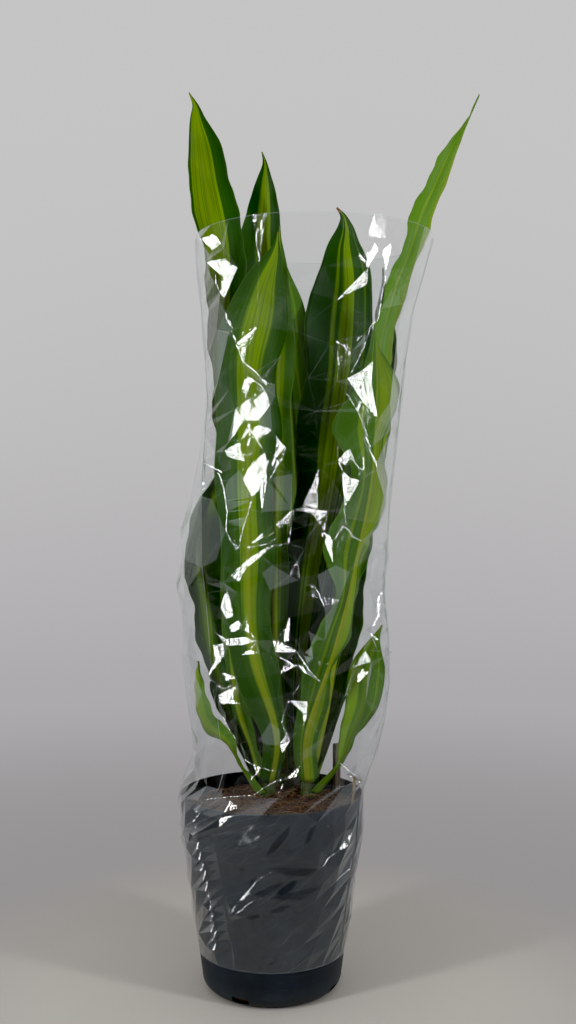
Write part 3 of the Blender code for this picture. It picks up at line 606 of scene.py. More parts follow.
upper_skin = leaf_material("dracaena_leaf_upper_skin", "#102d03", "#1a3e06", "#386408", "#5a7300",
                           "#6d8902", "#465f08", 0.20, 0.12)
under_skin = leaf_material("dracaena_leaf_underside", "#1b3b08", "#27480d", "#598024", "#667f06",
                           "#7b960d", "#86901c", 0.85, 0.10)
young_bark = bark_material()
peat = soil_material()
coir = fibre_material()
pot_plastic = pot_material()
clear_film = film_material("clear_polypropylene_film", 0.0, 0.004, 0.016, 0.05)
creased_film = film_material("creased_polypropylene_film", 0.02, 0.08, 0.06, 0.20)
stake_wood = wood_material("weathered_pine_stake", "#6f5e4e", "#41352b", 1.6)
stick_wood = wood_material("split_bamboo_stick", "#9c8158", "#6d5637", 1.0)
studio_paint_and_painted_glow = floor_material()


# ---------------------------------------------------------------- leaves

def cane_radius(shoot, z):
    """Radius of a cane at height z, without its leaf rings."""
    share = (z - SOIL_EDGE_Z) / (CANE_TOP_Z[shoot] - SOIL_EDGE_Z)
    return CANE_RADIUS + (CANE_TOP_RADIUS - CANE_RADIUS) * min(max(share, 0.0), 1.0)


def foot_radius(shoot, foot_z):
    """Distance of a leaf's foot from the cane's axis."""
    clear = cane_radius(shoot, foot_z) + CANE_RING_RELIEF + GAP
    return clear / cos(FOOT_HALF_WIDTH / clear / CAD_STRIPS)


def midrib(shoot, rung, heading, lean, points):
    """Smooth curve from the cane through the leaf's points, at even steps."""
    foot_z = FIRST_FOOT_Z + rung * RUNG
    outward = Vector((cos(heading), sin(heading), 0.0))
    foot = CANE_AXES[shoot] + outward * foot_radius(shoot, foot_z) + Vector((0, 0, foot_z))
    knee = foot + outward * (FOOT_RUN * sin(lean)) + Vector((0, 0, FOOT_RUN * cos(lean)))
    route = np.array([foot, knee] + [Vector(point) for point in points])
    steps = np.linalg.norm(np.diff(route, axis=0), axis=1)
    chords = np.concatenate(([0.0], np.cumsum(steps)))
    fine = along(list(zip(chords, route)), np.linspace(0.0, chords[-1], MIDRIB_SAMPLES))
    travelled = np.concatenate(([0.0], np.cumsum(np.linalg.norm(np.diff(fine, axis=0), axis=1))))
    return fine, travelled


def leaf_shape(leaf, across, lengthwise):
    """Points of a leaf's upper face, and what its material and its thickness need there."""
    shoot, rung, heading, lean, half_width, curl, wave, phase = leaf[:8]
    swell, swell_phase, kind, points, facing = leaf[8:]
    lean = radians(lean)
    fine, travelled = midrib(shoot, rung, radians(heading), lean, points)
    length = travelled[-1]
    run = lengthwise * length
    centre = np.column_stack([np.interp(run, travelled, fine[:, axis]) for axis in range(3)])
    slopes = np.gradient(fine, travelled, axis=0)
    tangent = unit(np.column_stack([np.interp(run, travelled, slopes[:, axis]) for axis in range(3)]))
    look = np.radians(along(facing, lengthwise))
    toward = np.column_stack([np.cos(look), np.sin(look), np.zeros_like(look)])
    normal = unit(toward - tangent * np.sum(toward * tangent, axis=1, keepdims=True))
    side = np.cross(tangent, normal)

    start = foot_radius(shoot, FIRST_FOOT_Z + rung * RUNG)
    blade_share = np.clip(run / FOOT_RUN, 0.0, 1.0)
    half = along(kind, lengthwise) * along(TIP_ALONG, length - run) * half_width
    half = FOOT_HALF_WIDTH * (1 - blade_share) + half * blade_share
    radius = np.interp(run, [0.0, FOOT_RUN, CURLED_UNTIL], [start, start + FOOT_RUN * sin(lean), curl])
    margin = np.clip((lengthwise - WAVE_START) / (WAVE_FULL - WAVE_START), 0.0, 1.0)
    left_side = across > 0
    turn = 2 * pi * run / SWELL_LENGTH + swell_phase + np.where(left_side, SWELL_SHIFT, 0.0)
    swell = swell * margin * np.where(left_side, SWELL_ON_LEFT, 1.0) * np.sin(turn)
    angle = across * half * (1 + swell) / radius
    taper = np.clip((1.0 - lengthwise) / WAVE_FADE, 0.0, 1.0)
    swing = np.sin(2 * pi * run / WAVE_LENGTH + phase + np.where(left_side, WAVE_SHIFT, 0.0))
    ripple = wave * margin * taper * np.abs(across) ** WAVE_POWER * swing

    keel = along(KEEL_HALF_WIDTH, run)
    middle = np.exp(-(across * half / keel) ** 2)
    frill_turn = 2 * pi * run / FRILL_LENGTH + 3 * phase + np.where(left_side, 0.0, WAVE_SHIFT)
    frill = FRILL_HEIGHT * margin * taper * np.abs(across) ** FRILL_POWER * np.sin(frill_turn)
    shown = np.clip(run / FOOT_RUN - SHEATHED_SHARE, 0.0, 1.0)
    groove = GROOVE_DEPTH * middle * shown * taper
    surface = (centre + side * (radius * np.sin(angle))[:, None]
               + normal * (radius * (1 - np.cos(angle)) + ripple + frill - groove)[:, None])
    rib = KEEL_HEIGHT * np.clip(keel / keel.max(), 0.0, 1.0) * middle * shown
    return surface, half, run, length - run, BLADE_THICKNESS + rib


# Stripes of each leaf: middle and half width as shares of its half width, how long its dried tip is,
# how pale the green beside them is, and how strongly they show. The last two are partly painted
# light: leaves in shade are made paler so that they still read green, and on some shaded leaves
# the stripes are weakened as painted shade.
# The middle is counted to the right of the blade, seen with its upper face towards the eye and its
# foot down
STRIPES = {
    "leaf_left_1": (0.30, 0.66, 0.0015, 0.85, 1.0), "leaf_left_2": (0.12, 0.30, 0.0015, 0.60, 0.8),
    "leaf_left_3": (-0.06, 0.32, 0.0015, 0.05, 0.80), "leaf_left_4": (0.00, 0.45, 0.0015, 0.30, 0.6),
    "leaf_left_5": (-0.20, 0.40, 0.0060, 0.30, 0.8), "leaf_left_6": (0.15, 0.45, 0.0015, 0.30, 0.8),
    "leaf_left_7": (0.00, 0.30, 0.0015, 0.25, 0.6), "leaf_left_8": (-0.20, 0.60, 0.0015, 0.10, 1.0),
    "leaf_left_9": (0.12, 0.34, 0.0015, 0.00, 0.9), "leaf_right_1": (0.62, 0.42, 0.0015, 0.45, 0.80),
    "leaf_right_2": (0.10, 0.40, 0.0080, 0.30, 0.6), "leaf_right_3": (-0.36, 0.34, 0.0015, 0.30, 1.0),
    "leaf_right_4": (0.00, 0.50, 0.0060, 0.90, 0.8), "leaf_right_5": (0.23, 0.30, 0.0085, 0.00, 1.0),
    "leaf_right_6": (-0.45, 0.36, 0.0015, 0.85, 1.0), "leaf_right_7": (0.10, 0.40, 0.0040, 0.30, 0.7),
    "leaf_back_1": (0.00, 0.46, 0.0060, 0.30, 0.9), "leaf_back_2": (-0.15, 0.40, 0.0015, 0.30, 0.8),
    "leaf_back_3": (0.12, 0.46, 0.0080, 0.30, 0.9), "leaf_back_4": (0.45, 0.30, 0.0015, 0.40, 0.7),
    "leaf_back_5": (-0.05, 0.52, 0.0015, 0.30, 0.9),
}

# How clearly the pale keel shows on each leaf's underside
USUAL_KEEL_SHARE = 0.6
KEEL_SHARES = {"leaf_right_1": 0.2, "leaf_left_1": 0.4, "leaf_left_3": 0.8, "leaf_right_3": 1.0,
               "leaf_right_6": 1.0}


def write_attribute(piece, name, rows):
    """Store three numbers for each point of a piece, for its material to read."""
    layer = piece.data.attributes.new(name, "FLOAT_VECTOR", "POINT")
    layer.data.foreach_set("vector", rows.astype(np.float32).ravel())


def make_leaf(leaf, seed):
    """One blade: a grid laid on the leaf's surface, thickened downwards, with a keel under its
    midrib."""
    node = f"leaf_{leaf[0]}_{leaf[1] + 1}"
    start_clear()
    bpy.ops.mesh.primitive_grid_add(x_subdivisions=LEAF_COLUMNS, y_subdivisions=LEAF_ROWS, size=2.0)
    piece = settle(bpy.context.object, f"striped_{node}", upper_skin)
    piece.data.materials.append(under_skin)
    flat = read_points(piece)
    across = np.sign(flat[:, 0]) * np.abs(flat[:, 0]) ** COLUMN_CROWDING
    lengthwise = 1.0 - (1.0 - (flat[:, 1] + 1.0) / 2.0) ** TIP_CROWDING
    surface, half, run, tip_left, thickness = leaf_shape(leaf, across, lengthwise)
    write_points(piece, surface)
    place = np.empty(len(piece.data.loops), dtype=np.int32)
    piece.data.loops.foreach_get("vertex_index", place)
    uv = np.column_stack(((across + 1) / 2, (flat[:, 1] + 1) / 2))[place]
    piece.data.uv_layers[0].data.foreach_set("uv", uv.astype(np.float32).ravel())
    piece.data.uv_layers[0].name = "UVMap"

    middle, half_share, dry_length, paleness_and_painted_light, strength = STRIPES[node]
    keel_share = KEEL_SHARES.get(node, USUAL_KEEL_SHARE)
    whole_blade = np.ones((len(across), 1))
    write_attribute(piece, "stripe_plan", whole_blade * (middle, half_share, seed))
    write_attribute(piece, "blade_size", np.column_stack((half, run, tip_left / dry_length)))
    write_attribute(piece, "leaf_tone_and_painted_light", whole_blade * (paleness_and_painted_light, strength, keel_share))

    # Solidify is as thick as the keel at its highest, and the group says what share each point takes
    most = BLADE_THICKNESS + KEEL_HEIGHT
    group = piece.vertex_groups.new(name="thickness")
    for index, share in enumerate(thickness / most):
        group.add([index], share, "REPLACE")
    skin = piece.modifiers.new("Blade thickness", "SOLIDIFY")
    skin.thickness = most
    skin.offset = -1.0
    skin.vertex_group = "thickness"
    skin.material_offset = 1
    skin.material_offset_rim = 1
    apply_modifiers(piece)
    piece.vertex_groups.clear()
    piece.data.shade_smooth()
    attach(piece, "root")
    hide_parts(node)
    return piece


leaf_draw = random.Random(41)
leaves = [make_leaf(leaf, leaf_draw.uniform(1.0, 60.0)) for leaf in LEAVES]


# ---------------------------------------------------------------- canes, pot, stake and stick

def make_cane(shoot):
    """Cane with a raised ring at the foot of each of its leaves and a bud at its top."""
    rungs = sum(1 for leaf in LEAVES if leaf[0] == shoot)
    top = CANE_TOP_Z[shoot]
    profile = [(CANE_RADIUS - CANE_FOOT_CHAMFER, CANE_BOTTOM_Z),
               (CANE_RADIUS, CANE_BOTTOM_Z + CANE_FOOT_CHAMFER), (CANE_RADIUS, SOIL_EDGE_Z)]
    for rung in range(rungs):
        z = FIRST_FOOT_Z + rung * RUNG
        radius = cane_radius(shoot, z)
        profile += [(radius, z - CANE_RING_HALF), (radius + CANE_RING_RELIEF, z),
                    (radius - CANE_RING_HOLLOW, z + CANE_RING_HALF)]
    profile += [(radius, top - below) for below, radius in CANE_BUD]
    cane = ring_by_ring(f"ringed_cane_{shoot}", profile, CANE_SIDES, young_bark)
    write_points(cane, read_points(cane) + np.array(CANE_AXES[shoot]))
    cane.data.shade_smooth()
    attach(cane, "root")
    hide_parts(f"cane_{shoot}")


for shoot in CANE_AXES:
    make_cane(shoot)


def arc(middle_radius, middle_height, radius, first, last, steps):
    """Points of a quarter turn in a profile, from one angle to another."""
    turns = [radians(first + (last - first) * step / steps) for step in range(steps + 1)]
    return [(middle_radius + radius * cos(turn), middle_height + radius * sin(turn)) for turn in turns]


def make_pot():
    """Tapered pot with a stepped collar, a rolled lip, a rounded foot and four drainage slots."""
    groove_outer = BASE_DISC_RADIUS + BASE_GROOVE_WIDTH
    foot = FOOT_RADIUS - FOOT_ROUND
    lip = POT_WALL / 2
    profile = [
        (BASE_DISC_RADIUS, 0.0),
        (BASE_DISC_RADIUS + BASE_GROOVE_DEPTH, BASE_GROOVE_DEPTH),
        (groove_outer - BASE_GROOVE_DEPTH, BASE_GROOVE_DEPTH),
        (groove_outer, 0.0),
    ]
    profile += arc(foot, FOOT_ROUND, FOOT_ROUND, -90, 0, 10)
    profile += [
        (BODY_TOP_RADIUS - BODY_TURN[0], BODY_TOP_Z - BODY_TURN[1]),
        (BODY_TOP_RADIUS, BODY_TOP_Z),
        (COLLAR_BOTTOM_RADIUS - COLLAR_TURN[0], COLLAR_BOTTOM_Z - COLLAR_TURN[1]),
        (COLLAR_BOTTOM_RADIUS, COLLAR_BOTTOM_Z),
    ]
    profile += arc(POT_RIM_RADIUS - lip, POT_HEIGHT - lip, lip, 0, 180, 8)
    profile += [
        (COLLAR_BOTTOM_RADIUS - POT_WALL, COLLAR_BOTTOM_Z),
        (BODY_TOP_RADIUS - POT_WALL, BODY_TOP_Z),
    ]
    profile += arc(foot, FOOT_ROUND, FOOT_ROUND - POT_WALL, 0, -90, 6)
    pot = ring_by_ring("moulded_pot", profile, POT_SIDES, pot_plastic)
    cutters = []
    reach = (SLOT_INNER_RADIUS + SLOT_OUTER_RADIUS) / 2
    for index in range(SLOT_COUNT):
        turn = FIRST_SLOT_ANGLE + index * 2 * pi / SLOT_COUNT
        start_clear()
        bpy.ops.mesh.primitive_cube_add(
            size=1.0,
            location=(reach * cos(turn), reach * sin(turn), (SLOT_BOTTOM_Z + SLOT_TOP_Z) / 2),
            rotation=(0.0, 0.0, turn),
            scale=(SLOT_OUTER_RADIUS - SLOT_INNER_RADIUS, SLOT_LENGTH, SLOT_TOP_Z - SLOT_BOTTOM_Z),
        )
        cutter = settle(bpy.context.object, f"slot_cutter_{index}", pot_plastic)
        rounded = cutter.modifiers.new("Round corners", "BEVEL")
        rounded.width = SLOT_CORNER
        rounded.segments = 3
        apply_modifiers(cutter)
        cutters.append(cutter)
    for cutter in cutters:
        cut = pot.modifiers.new("Drainage slot", "BOOLEAN")
        cut.operation = "DIFFERENCE"
        cut.solver = "EXACT"
        cut.object = cutter
    apply_modifiers(pot)
    for cutter in cutters:
        bpy.data.objects.remove(cutter, do_unlink=True)
    take(pot)
    bpy.ops.object.shade_smooth_by_angle(angle=radians(28))
    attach(pot, "root")
    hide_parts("pot")
    return pot


pot = make_pot()


BAR_CUTS = 24
BAR_CHAMFER = 0.0007
BAR_SEED = 3
# How uneven a bar's faces are, how far apart their swells are across it, both as shares of its
# width, and how much longer the swells are along it
BAR_UNEVENNESS = 0.035
BAR_SWELL = 0.6
BAR_SWELL_STRETCH = 4


def make_bar(name, node, foot, top, width, material):
    """Sawn square bar with worn edges and slightly uneven faces, in the place of its CAD node."""
    axis = top - foot
    start_clear()
    bpy.ops.mesh.primitive_cube_add(size=1.0, location=(foot + top) / 2,
                                    rotation=axis.to_track_quat("Z", "Y").to_euler(),
                                    scale=(width, width, axis.length))
    bar = settle(bpy.context.object, name, material)
    edit_all()
    bpy.ops.mesh.subdivide(number_cuts=BAR_CUTS)
    bpy.ops.object.mode_set(mode="OBJECT")
    points = read_points(bar)
    noise.seed_set(BAR_SEED)
    for point in points:
        spot = Vector((point[0], point[1], point[2] / BAR_SWELL_STRETCH)) / (width * BAR_SWELL)
        shift = noise.noise_vector(spot) * width * BAR_UNEVENNESS
        point[:2] += shift.xy
    write_points(bar, points)
    rounded = bar.modifiers.new("Worn edges", "BEVEL")
    rounded.width = BAR_CHAMFER
    rounded.segments = 2
    rounded.limit_method = "ANGLE"
    rounded.angle_limit = radians(60)
    apply_modifiers(bar)
    take(bar)
    bpy.ops.object.shade_smooth_by_angle(angle=radians(40))
    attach(bar, "root")
    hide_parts(node)


make_bar("pine_stake", "stake", Vector((0.0865, 0.052, 0.160)), Vector((0.0875, 0.050, 0.304)),
         0.0080, stake_wood)
make_bar("bamboo_stick", "stick", Vector((0.1040, 0.016, 0.180)), Vector((0.1100, 0.012, 0.268)),
         0.0030, stick_wood)


# ---------------------------------------------------------------- soil

SOIL_CELLS = 110
# The soil's lumps, from coarse to fine: how high they are, how far apart, and where the noise is cut
SOIL_LUMPS = [(0.0024, 0.022, 0.0), (0.0016, 0.0075, 3.0), (0.0008, 0.0030, 7.0)]


def soil_height(x, y):
    """Height of the soil: a low heap that falls towards the pot's wall, with lumps on it."""
    share = min(math.hypot(x, y) / SOIL_RADIUS, 1.0)
    z = SOIL_MIDDLE_Z + (SOIL_EDGE_Z - SOIL_MIDDLE_Z) * share ** 2
    for high, apart, cut in SOIL_LUMPS:
        z += high * noise.noise(Vector((x, y, cut)) / apart)
    return z


def make_soil():
    """Soil bed: a square grid rounded into a disc, roughened on top and carried down inside the pot."""
    start_clear()
    bpy.ops.mesh.primitive_grid_add(x_subdivisions=SOIL_CELLS, y_subdivisions=SOIL_CELLS, size=2.0)
    bed = settle(bpy.context.object, "soil_bed", peat)
    points = read_points(bed)
    x, y = points[:, 0].copy(), points[:, 1].copy()
    points[:, 0] = x * np.sqrt(1 - y * y / 2) * SOIL_RADIUS
    points[:, 1] = y * np.sqrt(1 - x * x / 2) * SOIL_RADIUS
    points[:, 2] = [soil_height(point[0], point[1]) for point in points]
    write_points(bed, points)
    edit_all()
    bpy.ops.mesh.region_to_loop()
    foot = FOOT_RADIUS - FOOT_ROUND
    wall = POT_WALL + 2 * GAP
    foot_bend = FOOT_ROUND - wall
    lower = [(COLLAR_BOTTOM_RADIUS - wall, COLLAR_BOTTOM_Z), (BODY_TOP_RADIUS - wall, BODY_TOP_Z)]
    lower += [(foot + foot_bend * cos(turn), FOOT_ROUND + foot_bend * sin(turn))
              for turn in (0.0, -0.5, -1.0, -1.5)]
    radius = SOIL_RADIUS
    for next_radius, next_height in lower:
        bpy.ops.mesh.extrude_region_move()
        bpy.ops.object.mode_set(mode="OBJECT")
        points = read_points(bed)
        ring = np.array([vertex.select for vertex in bed.data.vertices])
        points[ring, :2] *= next_radius / radius
        points[ring, 2] = next_height
        write_points(bed, points)
        bpy.ops.object.mode_set(mode="EDIT")
        radius = next_radius
    bpy.ops.mesh.edge_face_add()
    close_outwards()
    bed.data.shade_smooth()
    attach(bed, "root")
    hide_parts("soil")


make_soil()


# Share of the crumbs and fibres that lie heaped round the canes, and the heaps' reach and height
HEAPED_SHARE = 0.30
HEAP_FROM = 0.0170
HEAP_TO = 0.032
HEAP_HEIGHT = 0.0060
# How near they lie to the pot's wall and to a cane's axis, as shares of the soil's and cane's radius
STREWN_TO = 0.96
CLEAR_OF_CANE = 1.15


def scatter(name, template, count, material, draw, spread, size, lift):
    """Copies of a small piece strewn over the soil, each turned and sized by a draw, then joined.
    A copy is tipped by up to the spread, in radians, and lies the lift above the soil."""
    shape = read_points(template)
    copies = []
    while len(copies) < count:
        turn = draw.uniform(0, 2 * pi)
        if draw.random() < HEAPED_SHARE:
            axis = draw.choice(list(CANE_AXES.values()))
            radius = draw.uniform(HEAP_FROM, HEAP_TO)
            x, y = axis.x + radius * cos(turn), axis.y + radius * sin(turn)
            heap = draw.uniform(0.0, HEAP_HEIGHT)
        else:
            radius = SOIL_RADIUS * STREWN_TO * math.sqrt(draw.random())
            x, y, heap = radius * cos(turn), radius * sin(turn), 0.0
        clear = CANE_RADIUS * CLEAR_OF_CANE
        if any(math.hypot(x - axis.x, y - axis.y) < clear for axis in CANE_AXES.values()):
            continue
        copy = template.copy()
        copy.data = template.data.copy()
        bpy.context.scene.collection.objects.link(copy)
        tilt = draw.uniform(-spread, spread)
        turned = Matrix.Rotation(draw.uniform(0, 2 * pi), 3, "Z") @ Matrix.Rotation(tilt, 3, "X")
        sized = np.array(turned) @ np.diag([size * draw.uniform(0.5, 1.3) for _ in range(3)])
        write_points(copy, shape @ sized.T + np.array((x, y, soil_height(x, y) + lift + heap)))
        copies.append(copy)
    bpy.data.objects.remove(template, do_unlink=True)
    start_clear()
    for copy in copies:
        copy.select_set(True)
    bpy.context.view_layer.objects.active = copies[0]
    bpy.ops.object.join()
    piece = settle(bpy.context.object, name, material)
    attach(piece, "root")


CRUMB_COUNT = 900
CRUMB_RADIUS = 0.0023
FIBRE_COUNT = 230
FIBRE_HALF_LENGTH = 0.0085

# A crumb: a knocked ball of peat
crumb_draw = random.Random(7)
start_clear()
bpy.ops.mesh.primitive_ico_sphere_add(subdivisions=1, radius=1.0)
crumb = settle(bpy.context.object, "crumb", peat)
crumb_points = read_points(crumb)
write_points(crumb, crumb_points * np.array([[crumb_draw.uniform(0.7, 1.3)] for _ in crumb_points]))
scatter("soil_crumbs", crumb, CRUMB_COUNT, peat, crumb_draw, spread=1.2, size=CRUMB_RADIUS, lift=0.0004)

# A fibre: a thin rod, cut in three and bowed
start_clear()
bpy.ops.mesh.primitive_cylinder_add(vertices=5, radius=0.035, depth=2.0, rotation=(pi / 2, 0, 0))
fibre = settle(bpy.context.object, "fibre", coir)
edit_all()
for cut_at in (-0.35, 0.35):
    bpy.ops.mesh.select_all(action="SELECT")
    bpy.ops.mesh.bisect(plane_co=(0, cut_at, 0), plane_no=(0, 1, 0))
bpy.ops.object.mode_set(mode="OBJECT")
fibre_points = read_points(fibre)
fibre_points[:, 2] += 0.22 * (1 - fibre_points[:, 1] ** 2)
fibre_points[:, 0] += 0.16 * fibre_points[:, 1] ** 2
write_points(fibre, fibre_points)
scatter("coir_fibres", fibre, FIBRE_COUNT, coir, crumb_draw, spread=0.25, size=FIBRE_HALF_LENGTH,
        lift=0.0006)


# ---------------------------------------------------------------- film sleeve

# The sleeve is drawn unrolled: distance round it is its angle times this radius
UNROLL_RADIUS = 0.130
GIRTH = 2 * pi * UNROLL_RADIUS
LOW_Z, HIGH_Z = SLEEVE_ROWS[0][0], SLEEVE_ROWS[-1][0]
HEM = 0.0012
HEM_STEP = 0.016
FILM_THICKNESS = 0.0002
FILM_CREASE = 0.00036
CREASE_ANGLE = radians(6)
FILM_SEED = 58

# How far apart random creases are and how far they stand in or out: above the pot, and on it
FILM_SPACING = 0.034
FILM_DEPTH = 0.0042
MOUTH_CALM_FROM_Z = 0.925
ON_POT_SPACING = 0.018
ON_POT_DEPTH = 0.0030
ON_POT_TO_Z = POT_HEIGHT + 0.006
RANDOM_MARGIN = 0.006
MOST_MISSES = 9000

# The wrinkles on the pot lean by this share of their height below the pot's rim
SLANT_SLOPE = 1.3
SLANT_TO_Z = 0.275

# The damp patch on the pot's front that draws the film tight, in degrees from +X and in height
CLING_FROM = 258
CLING_TO = 292
CLING_LOW_Z = 0.128
CLING_HIGH_Z = 0.184

# The steps in which the film is lifted off the leaves and the pot
LIFT = 0.0006
LIFT_ROUNDS = 40

# Spots of the plan are found by square cells. Spots nearer than this are one, and the copies of the
# film at both sides of its drawing reach so far
CELL = 0.020
SAME_SPOT = 0.00001
COPY_REACH = 0.12

# Where the film is crumpled small: degrees from +X, height, reach, and its creases' spacing and depth
CRUMPLES = [
    (243, 0.755, 0.030, 0.012, 0.0050), (254, 0.690, 0.028, 0.012, 0.0050),
    (231, 0.690, 0.026, 0.011, 0.0045), (299, 0.780, 0.028, 0.014, 0.0050),
    (300, 0.680, 0.030, 0.013, 0.0050), (288, 0.595, 0.026, 0.014, 0.0055),
    (258, 0.580, 0.030, 0.014, 0.0050), (247, 0.535, 0.026, 0.012, 0.0045),
    (240, 0.490, 0.030, 0.011, 0.0045), (250, 0.466, 0.024, 0.010, 0.0040),
    (273, 0.455, 0.034, 0.015, 0.0060), (236, 0.394, 0.030, 0.010, 0.0045),
    (271, 0.376, 0.026, 0.012, 0.0050), (319, 0.442, 0.024, 0.011, 0.0040),
    (216, 0.935, 0.022, 0.010, 0.0035), (300, 0.935, 0.022, 0.011, 0.0040),
    (308, 0.905, 0.024, 0.011, 0.0040), (60, 0.600, 0.050, 0.013, 0.0050),
    (120, 0.420, 0.050, 0.013, 0.0050), (95, 0.780, 0.045, 0.013, 0.0050),
    (170, 0.520, 0.040, 0.012, 0.0045), (10, 0.560, 0.040, 0.012, 0.0045),
    (20, 0.360, 0.045, 0.012, 0.0045), (150, 0.860, 0.040, 0.013, 0.0045),
    (265, 0.285, 0.060, 0.014, 0.0050), (330, 0.290, 0.050, 0.013, 0.0045),
    (215, 0.290, 0.050, 0.013, 0.0045),
]

# Long creases and the two welded seams: points of (degrees, height). A crease also says how far it
# stands out
FOLD_STEP = 0.011
FOLD_CLEAR = 0.0024
FOLD_UNEVEN = (0.55, 1.25)
CREASE_MARGIN = 0.004
SEAM_STAND = 0.0022
SEAM_FOOT = 0.0028
FOLDS = [
    ([(222, 0.869), (227, 0.833), (236, 0.797), (250, 0.769)], 0.0060),
    ([(306, 0.920), (306, 0.860), (293, 0.781), (303, 0.728), (314, 0.670)], 0.0060),
    ([(278, 0.620), (262, 0.590), (248, 0.562), (238, 0.526)], 0.0065),
    ([(283, 0.622), (297, 0.618), (297, 0.556)], 0.0055),
    ([(262, 0.452), (274, 0.474), (284, 0.420)], 0.0060),
    ([(255, 0.345), (272, 0.322), (292, 0.352)], 0.0050),
    ([(330, 0.340), (335, 0.420), (341, 0.500), (343, 0.590)], 0.0045),
    ([(80, 0.330), (95, 0.460), (85, 0.560), (100, 0.700)], 0.0060),
    ([(140, 0.560), (128, 0.680), (140, 0.800)], 0.0060),
    ([(45, 0.430), (38, 0.540)], 0.0060),
]
SEAMS = [
    [(188, 0.974), (189, 0.860), (200, 0.740), (217, 0.620), (227, 0.520), (228, 0.420), (231, 0.320),
     (235, 0.262), (237, 0.200), (240, 0.130), (243, 0.058)],
    [(352, 0.974), (350, 0.860), (348, 0.740), (346, 0.620), (344, 0.500), (346, 0.380), (342, 0.300),
     (338, 0.262), (336, 0.200), (334, 0.130), (333, 0.058)],
]

# The place that the photo was taken from, looking level along +Y, with its middle and its focal
# length in pixels. A sight is followed to the sleeve in a few rounds, and not quite to its edge
PHOTO_FROM = (0.021, -1.494, 0.620)
PHOTO_MIDDLE = (288.0, 512.0)
PHOTO_FOCAL = 1131.0
SIGHT_ROUNDS = 8
SIGHT_SIDEWAYS = 0.995

# Flat facets of the film that mirror a lamp: the lamp, then the corners of each of its facets as they
# are seen in the photo, in its pixels
LEFT_LAMP = (-1.25, -1.05, 0.95)
RIGHT_LAMP = (1.30, -0.95, 1.00)
STEEPEST_PUSH = 0.011
FLASHES = [
    (LEFT_LAMP, [
        [(207, 240), (213, 234), (217, 243), (212, 250)],
        [(213, 263), (224, 259), (233, 267), (222, 277)],
        [(222, 303), (226, 313), (231, 328), (226, 322)],
        [(243, 388), (250, 384), (253, 397), (246, 399)],
        [(237, 409), (242, 397), (254, 400), (255, 410), (270, 405), (258, 420), (243, 421)],
        [(225, 452), (240, 442), (241, 455), (243, 461), (231, 458)],
        [(242, 478), (253, 462), (268, 463), (266, 471), (268, 480), (259, 490), (252, 497)],
        [(276, 436), (281, 442), (286, 448), (275, 458), (270, 463), (276, 452)],
        [(246, 546), (262, 533), (276, 524), (292, 510), (279, 528), (262, 538)],
        [(231, 575), (246, 560), (264, 549), (274, 545), (262, 556), (247, 567)],
        [(221, 608), (224, 590), (230, 604), (234, 616), (228, 618)],
        [(229, 626), (238, 620), (240, 629), (233, 632)],
        [(216, 632), (226, 639), (243, 637), (255, 641), (242, 645), (229, 645)],
        [(272, 641), (280, 642), (296, 650), (289, 652), (274, 652)],
        [(285, 629), (290, 617), (289, 640), (283, 641)],
        [(207, 692), (219, 695), (232, 686), (232, 700), (240, 704), (222, 703)],
        [(212, 645), (220, 644), (223, 657), (214, 675), (216, 660)],
    ]),
    (RIGHT_LAMP, [
        [(349, 378), (363, 371), (373, 361), (371, 386), (374, 420), (361, 399)],
        [(371, 252), (374, 243), (379, 250), (375, 255)],
        [(383, 250), (392, 243), (388, 262), (385, 271)],
        [(338, 460), (346, 452), (349, 460), (346, 466)],
        [(343, 482), (344, 471), (351, 478), (359, 481), (350, 497), (344, 507)],
        [(300, 509), (318, 510), (329, 511), (314, 513)],
        [(321, 531), (331, 535), (333, 541), (331, 562), (326, 546)],
        [(374, 629), (379, 640), (383, 651), (377, 640)],
        [(360, 668), (370, 651), (384, 652), (372, 661)],
        [(342, 763), (349, 773), (352, 778), (346, 771)],
        [(303, 713), (309, 702), (307, 716), (302, 724)],
    ]),
    (LEFT_LAMP, [[(204, 832), (221, 817), (233, 815), (222, 825)]]),
]

